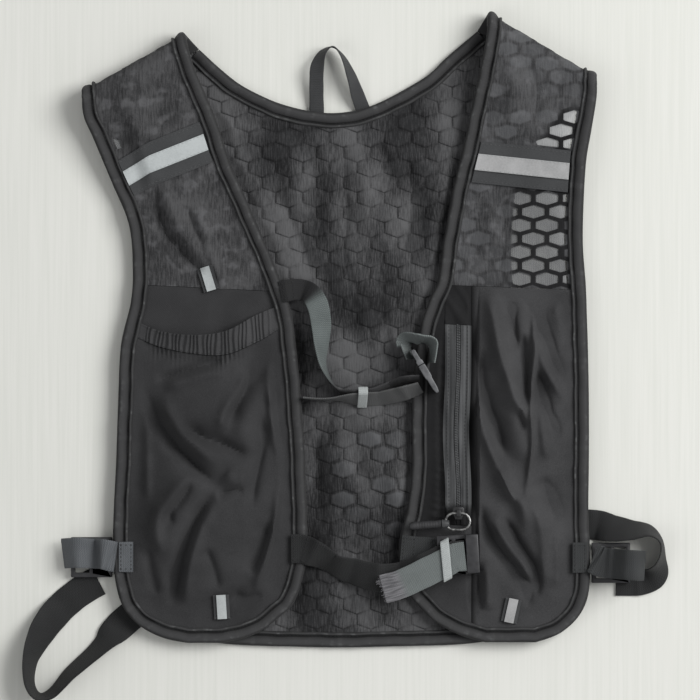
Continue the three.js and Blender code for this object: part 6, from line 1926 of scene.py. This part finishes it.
def strapFrame(name, centre, length, webbing, lip, base, turn, node, lipRise=0.0):
    width = webbing + 2 * (gap + frameBar)
    slot = (length - lip - 2 * frameBar) / 2

    def box(word, long, wide, reach, low, high):  # a block with its middle some way along the frame
        middle = (centre[0] + reach * math.cos(turn), centre[1] + reach * math.sin(turn))
        return prism(word, block(long, wide, *middle, turn), low, high, finishes["plastic"], 0)

    body = box(name, length, width, 0, base, base + frameWall)
    if lipRise:
        body = joined(name, [body, box("lip", lip, width, (length - lip) / 2, base, base + frameWall + lipRise)])
    first = -length / 2 + frameBar + slot / 2
    cutters = [
        box("slot", slot, width - 2 * frameBar, reach, base - 5, base + 20)
        for reach in (first, first + slot + frameBar)
    ]
    body = joined(name, [body, *cutters], "DIFFERENCE")
    softened(body, 0.75)
    settle(body, node, slot="buckle_plastic")


lowerTurn = math.radians(lowerBuckle["turn"])
lowerBase = footprintTop(lowerBuckle["centre"], lowerBuckle["length"] / 2 + 1, lowerFrameWidth / 2 + 1) + gap
strapFrame(
    "lower_chest_buckle", lowerBuckle["centre"], lowerBuckle["length"], ribbon["lower"], lowerBuckle["lip"],
    lowerBase, lowerTurn, "lower_buckle", lowerBuckle["lipRise"],
)  # fmt: skip

frameLeft = (lowerBuckle["centre"][0] - lowerBuckle["length"] / 2 - 1.2) / vest["halfWidth"]
anchorRows = [[0.225, 0.849, 0, 0.03], [0.28, 0.851, 0, 0.03], [frameLeft, 0.853, 0, 0.03]]
lowerAnchor = Strap(anchorRows, ribbon["lower"], ribbon["wall"], 8)


def overLowerFrame(places):
    near = np.linalg.norm(places - lowerBuckle["centre"], axis=-1) < lowerBuckle["length"] * 0.75
    return np.maximum.reduce([topAt(places), lowerAnchor.top(places), near * (lowerBase + frameWall)])


lipX = (lowerBuckle["centre"][0] + lowerBuckle["length"] / 2 - lowerBuckle["lip"] - 0.7) / vest["halfWidth"]
lowerRows = [
    [-0.2, 0.848, 0, 0.03], [-0.15, 0.849, 5, 0.05], [-0.09, 0.86, 30, 0.1], [-0.04, 0.872, 45, 0.1],
    [0.03, 0.883, 25, 0.03], [0.12, 0.893, 8, 0.03], [0.2, 0.893, 0, 0.03], [0.27, 0.885, 0, 0.03],
    [0.34, 0.872, 0, 0.15], [0.41, 0.859, 0, 0.2], [lipX, 0.8565, 0, 0.03],
]  # fmt: skip
lower = Strap(lowerRows, ribbon["lower"], ribbon["wall"], 25, overLowerFrame)
lowerTailRows = [
    [0.156, 0.911, 0, 0.03], [0.215, 0.904, 0, 0.03], [0.276, 0.893, 0, 0.03], [0.34, 0.88, 0, 0.03],
    [0.4, 0.868, 0, 0.03], [0.43, 0.861, 0, 0.03], [lipX, 0.8585, 0, 0.03],
]  # fmt: skip
overLower = lambda p: np.maximum(overLowerFrame(p), lower.top(p))
lowerTail = Strap(lowerTailRows, ribbon["lower"], ribbon["wall"], 15, overLower)
lowerAnchor.make("lower_anchor_webbing", "lower_anchor", "darkWebbing", "dark_webbing")
lowerAnchor.stitches(1.2, 9)
lower.make("lower_strap_webbing", "lower_strap", "blackWebbing", "chest_webbing")
lower.stitches(1.5, 10)
lowerTail.make("lower_tail_webbing", "lower_tail", "lowerTail", "chest_webbing")


def frayedEnd(strap, name, material, slot):  # loose threads where the webbing was cut
    random = np.random.default_rng(7)
    points, outs, ups = strap.fine()
    way = unit(points[0] - points[3])
    strands, faces, uv = [], [], []
    count = 34
    for k in range(count):
        side = (k + 0.5) / count * 2 - 1
        reach = random.uniform(0.8, 3.4) + 1.6 * math.exp(-(((side - 0.5) / 0.3) ** 2))
        lean, droop = random.uniform(-0.5, 0.5), random.uniform(-0.5, 0.2)
        start = points[1] + outs[1] * side * (strap.width / 2 - 0.5)
        for step in range(4):
            t = step / 3
            middle = start + way * (reach * t) + outs[1] * lean * t**2 * 1.4 + ups[1] * droop * t**2
            half = 0.3 * (1 - 0.55 * t)
            for a, h in ((-half, 0), (0, half * 0.9), (half, 0), (0, -half * 0.9)):
                strands.append(middle + outs[1] * a + ups[1] * h)
                uv.append((side * 10, reach * t))
        base = k * 16
        faces.append([base + 3, base + 2, base + 1, base])
        faces.append([base + 12, base + 13, base + 14, base + 15])
        for step in range(3):
            for j in range(4):
                a, b = base + step * 4 + j, base + step * 4 + (j + 1) % 4
                faces.append([a, b, b + 4, a + 4])
    settle(makePiece(name, strands, faces, finishes[material], np.array(uv)), slot=slot)


frayedEnd(lowerTail, "lower_tail_threads", "lowerTail", "chest_webbing")
bandLoop("lower_keeper_band", 0.405 * vest["halfWidth"], lower, lowerTail, "lower_keeper", 0.42)
print("chest straps made")

leftSide = {
    "frame": (-0.976, 0.862), "length": 29, "finish": "sideWebbing",
    "patch": [[-0.813, 0.861, 0, 0.03], [-0.868, 0.861, 0, 0.03]],
    "strap": [
        [-0.88, 0.861, 0, 0.03], [-0.895, 0.86, 0, 0.06], [-0.91, 0.858, 0, 0.3], [-0.935, 0.856, 0, 0.7],
        [-0.965, 0.856, 0, 0.2], [-0.995, 0.855, 0, 0.7], [-1.03, 0.854, 0, 0.9], [-1.065, 0.855, 0, 0.5],
        [-1.085, 0.856, 0, 0.05],
    ],
    "back": [
        [-0.7785, 0.9403, 0, 0.02], [-0.85, 0.965, 4, 0.02], [-0.885, 0.979, 20, 0.02], [-0.92, 0.994, 48, 0.02],
        [-0.97, 1.014, 60, 0.02], [-1.061, 1.047, 66, 0.02], [-1.125, 1.076, 72, 0.02], [-1.18, 1.083, 80, 0.02],
        [-1.215, 1.062, 75, 0.02], [-1.21, 1.02, 60, 0.02], [-1.16, 0.975, 25, 0.02], [-1.09, 0.94, 0, 0.02],
        [-1.01, 0.914, 0, 0.02], [-0.95, 0.9, 0, 0.02],
    ],
}  # fmt: skip
rightSide = {
    "frame": (1.04, 0.871), "length": 27, "finish": "darkWebbing",
    "patch": [[0.89, 0.862, 0, 0.03], [0.945, 0.862, 0, 0.03]],
    "strap": [
        [0.967, 0.862, 0, 0.03], [0.979, 0.864, 0, 0.05], [0.99, 0.867, 0, 0.2], [1.015, 0.87, 0, 0.1],
        [1.05, 0.871, 0, 0.2], [1.09, 0.872, 0, 0.7], [1.13, 0.873, 0, 0.6], [1.165, 0.874, 0, 0.05],
    ],
    "back": [
        [0.9075, 0.81, 0, 0.02], [0.98, 0.811, 0, 0.02], [1.04, 0.816, -28, 0.02], [1.115, 0.819, -50, 0.02],
        [1.19, 0.82, -70, 0.02], [1.235, 0.838, -82, 0.02], [1.235, 0.868, -70, 0.02], [1.21, 0.889, -35, 0.02],
        [1.165, 0.898, 0, 0.02], [1.12, 0.9, 0, 0.02], [1.06, 0.9, 0, 0.02],
    ],
}  # fmt: skip


def onFloor(places):
    return np.zeros(places.shape[:-1])


def sideSet(side, parts):
    width, wall, centre = ribbon["side"], ribbon["wall"], spot(*parts["frame"])
    lift = wall + 4 * gap
    strapFrame(f"{side}_adjuster", centre, parts["length"], width, frameBar, gap + lift, 0, f"{side}_side_buckle")
    near = lambda p: np.abs(p[..., 0] - centre[0]) < parts["length"] / 2 + 1
    overFrame = lambda p: np.maximum(topAt(p), near(p) * (gap + lift + frameWall))
    patch = Strap(parts["patch"], width, wall, 4)
    backStrap = Strap(parts["back"], width, wall, 26, onFloor)
    strap = Strap(parts["strap"], width, wall, 18, lambda p: np.maximum(overFrame(p), backStrap.top(p)))
    for piece, word, node, kind in (
        (patch, "patch", "side_patch", parts["finish"]),
        (backStrap, "back_strap", "back_strap", "blackWebbing"),
        (strap, "side_strap", "side_strap", parts["finish"]),
    ):
        piece.make(f"{side}_{word}_webbing", f"{side}_{node}", kind, "dark_webbing")
    patch.stitches(1.2, 8.6)


sideSet("left", leftSide)
sideSet("right", rightSide)

def loopFoot(share):  # how far down the neck's edge is there
    edge = curveAt(neckPoints, unitSteps(200))
    y = edge[np.argmin(np.abs(edge[:, 0] - share * vest["halfWidth"])), 1]
    return (vest["length"] / 2 - (y + 0.8)) / vest["length"]


loopRows = [
    [-0.102, loopFoot(-0.102), 0, 0.12], [-0.103, 0.115, 0, 0.6], [-0.1, 0.085, -20, 0.8],
    [-0.08, 0.062, -60, 0.5], [-0.039, 0.052, -90, 0.4], [0.0, 0.068, -75, 0.5], [0.032, 0.098, -50, 0.6],
    [0.055, 0.126, -25, 0.4], [0.078, loopFoot(0.078), 0, 0.12],
]  # fmt: skip
Strap(loopRows, ribbon["loop"], 1.0, 22, onFloor).make("hanging_loop_tape", "hanging_loop", "loop", "dark_webbing")
print("side straps and loop made")


# zip: teeth, slider and pull


def zipLine(shift, endY=zipEndY):  # along the teeth, some way beside their middle
    y = np.linspace(zipTopY, endY, 120)
    places = np.stack([zipper["x"] + shift + zipBow(y), y], axis=1)
    return at(places, overFront(rightFront, places, vest["pocketWall"], rightPuff(places) + zipWave(y)))


def makeZip():
    t = np.linspace(-0.5, 0.5, 3) * zipper["teeth"] * 0.92
    grid = np.stack([zipLine(x, along(0.81)) for x in t], axis=1)
    grid[..., 2] -= sunkEnd(grid[..., 1])
    clothPiece("zip_chain", grid, 0.7, "zipTape", ["zip_teeth"], "zip_plastic")
    tooth = {"Spacing": 1.7, "Length": 0.95, "Width": 1.5, "Height": 0.6}
    for name, side, start in (("zip_teeth_a", -1, 0), ("zip_teeth_b", 1, 1)):
        line = zipLine(0.62 * side)[start:-2] + [0, 0, 0.35]
        line[:, 1] -= tooth["Spacing"] / 2 * start  # the two rows of teeth take turns
        setOut(name, [(line, (0, 0, 1))], toothTree, tooth, finishes["teeth"], "zip_plastic")


makeZip()

sliderWidth, sliderLength, sliderHeight = zipper["slider"]
tunnel = zipper["wire"] + gap
sliderY = zipEndY - sliderLength / 2 - gap
sliderBase = footprintTop(np.array([zipper["x"], sliderY]), sliderWidth / 2, sliderLength / 2) + gap
pullZ = sliderBase + sliderHeight + tunnel
bridge = {"width": 3, "wall": 1.1}


def makeSlider():
    x, y, half, long = zipper["x"], sliderY, sliderWidth / 2, sliderLength / 2
    outline = [
        (-half * 0.55, -long), (half * 0.55, -long), (half * 0.8, -long * 0.45), (half, long * 0.2),
        (half, long * 0.75), (half * 0.72, long), (-half * 0.72, long), (-half, long * 0.75), (-half, long * 0.2),
        (-half * 0.8, -long * 0.45),
    ]  # fmt: skip
    top = sliderBase + sliderHeight
    wide, thick = bridge["width"], bridge["wall"]
    shift, roof = tunnel + thick / 2, top + 2 * tunnel
    parts = [
        prism(name, ends, low, high, finishes["zip"], bevel)
        for name, ends, low, high, bevel in (
            ("zip_slider_body", np.array(outline) + [x, y], sliderBase, top, 0.45),
            ("post", block(wide, thick, x, y - shift), top - 0.5, roof + 0.4, 0),
            ("post", block(wide, thick, x, y + shift), top - 0.5, roof + 0.4, 0),
            ("bar", block(wide, 2 * shift + thick, x, y), roof, roof + thick, 0.3),
        )
    ]
    settle(joined("zip_slider_body", parts), "zip_slider", slot="zip_plastic")


makeSlider()

ringLength, ringWidth = zipper["ring"]
ringX = zipper["x"] - (ringLength / 2 - ringWidth / 2) + bridge["width"] * 0.75


def makePull():
    turn = ringWidth / 2
    straight = ringLength / 2 - turn
    path = []
    for sign in (1, -1):
        for angle in np.radians(np.linspace(90, -90, 17)):
            path.append([sign * (straight + turn * math.cos(angle)), sign * turn * math.sin(angle)])
    path = np.array(path)
    points = at(path + [ringX, sliderY - ringWidth / 2], np.full(len(path), pullZ))
    way = unit(np.roll(points, -1, axis=0) - np.roll(points, 1, axis=0))
    out = unit(np.cross(way, [0, 0, 1.0]))
    angles = np.linspace(0, 2 * math.pi, 13)[:-1]
    rings = points[:, None] + zipper["wire"] * (
        np.cos(angles)[:, None] * out[:, None] + np.sin(angles)[:, None] * np.array([0, 0, 1.0])
    )
    ring = sweepPiece("pull_ring_wire", rings, finishes["wire"], closed=True)
    settle(ring, "pull_ring", slot="wire_metal", body="zip_pull")

    radius, long, drop, lean = 2.9, 28, 2.2, 0.07
    start = np.array([ringX - ringLength / 2 + 3 * zipper["wire"], sliderY - ringWidth * 0.62, pullZ])
    axis = unit(np.array([-1, -lean, -drop / long]))
    sideways = unit(np.cross(axis, [0, 0, 1.0]))
    upward = np.cross(sideways, axis)
    collar = 6 * zipper["wire"]

    def turnedPiece(name, profile, material, node):
        a = np.linspace(0, 2 * math.pi, 33)[:-1]
        circle = np.cos(a)[:, None] * sideways + np.sin(a)[:, None] * upward
        rings = np.array([start + axis * d + circle * r for d, r in profile])
        piece = sweepPiece(name, rings, finishes[material], sharp=35)
        settle(piece, node, slot="grip_plastic", body="zip_pull")

    turnedPiece(
        "pull_collar_sleeve",
        [(0, 0.5), (0.05, radius * 0.62), (0.4, radius * 0.8), (2, radius * 0.93), (4, radius * 1.05),
         (collar - 0.3, radius * 1.08), (collar, radius * 0.9), (collar, 0.5)],
        "collar", "pull_collar",
    )  # fmt: skip
    begin, end = collar + gap, gap + long
    profile = [(begin, 0.5), (begin, radius * 0.85), (begin + 0.4, radius)]
    for d in np.linspace(begin + 1.5, begin + (end - begin) * 0.78, 40):
        groove = 0.16 * (0.5 - 0.5 * math.cos(2 * math.pi * (d - begin - 1.5) / 1.9))
        profile.append((d, radius - groove))
    profile += [(begin + (end - begin) * 0.82, radius), (end - 1.6, radius * 0.93)]
    profile += [(end - 0.5, radius * 0.72), (end, radius * 0.3)]
    turnedPiece("pull_grip_tube", profile, "grip", "pull_grip")


makePull()
print("zip and pull made")


# sewing


fineThread = {"Spacing": 2.6, "Length": 2.0, "Width": 0.4, "Height": 0.3}
threads = {
    "binding": (fineThread, "darkThread", "binding_cloth"),
    "tape": ({"Spacing": 2.8, "Length": 2.1, "Width": 0.42, "Height": 0.3}, "thread", "pocket_cloth"),
    "silver": ({"Spacing": 2.8, "Length": 2.1, "Width": 0.4, "Height": 0.28}, "paleThread", "silver_tape"),
    "zip": (fineThread, "darkThread", "pocket_cloth"),
    "band": (fineThread, "darkThread", "pocket_cloth"),
    "dark": ({"Spacing": 2.4, "Length": 1.9, "Width": 0.45, "Height": 0.34}, "darkThread", "dark_webbing"),
}
for kind, (sizes, material, slotName) in threads.items():
    paths = [(line, up) for runKind, line, up in stitchRuns if runKind == kind]
    setOut(f"{kind}_stitches", paths, stitchTree, sizes, finishes[material], slotName)
print("stitches made:", len(stitchRuns), "runs")


# floor and light


def floorFinish():
    f = Finish("pale_floor")
    fine = f.drawn(420, 9, 1, 3)
    broad = f.drawn(3, 1.2, 1)
    colour = f.blend(shade("dcddd6"), shade("e4e4de"), (fine * 0.6 + broad * 0.4).between(0.3, 0.7))
    return f.done(Base_Color=colour, Roughness=0.75, Normal=f.bump(fine, 0.0002, 0.3))


floor = prism("pale_floor", block(6000, 6000), -20, 0, floorFinish(), 0)


def softLight(name, place, size, power, colour=(1, 1, 1)):
    light = bpy.data.lights.new(name, "AREA")
    light.size = size
    light.energy = power
    light.color = colour
    lamp = bpy.data.objects.new(name, light)
    lamp.location = place
    lamp.rotation_euler = (Vector((0, 0, 0)) - Vector(place)).to_track_quat("-Z", "Y").to_euler()
    scene.collection.objects.link(lamp)


softLight("window", (2.02, 0.8, 2.15), 1.7, 85)
softLight("fill", (-1.6, -0.8, 2.2), 1.5, 6)
world = bpy.data.worlds.new("studio")
world.use_nodes = True
world.node_tree.nodes["Background"].inputs["Color"].default_value = (0.98, 0.985, 1, 1)
world.node_tree.nodes["Background"].inputs["Strength"].default_value = 0.37
scene.world = world
scene.view_settings.view_transform = "Standard"

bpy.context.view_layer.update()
print("scene ready")
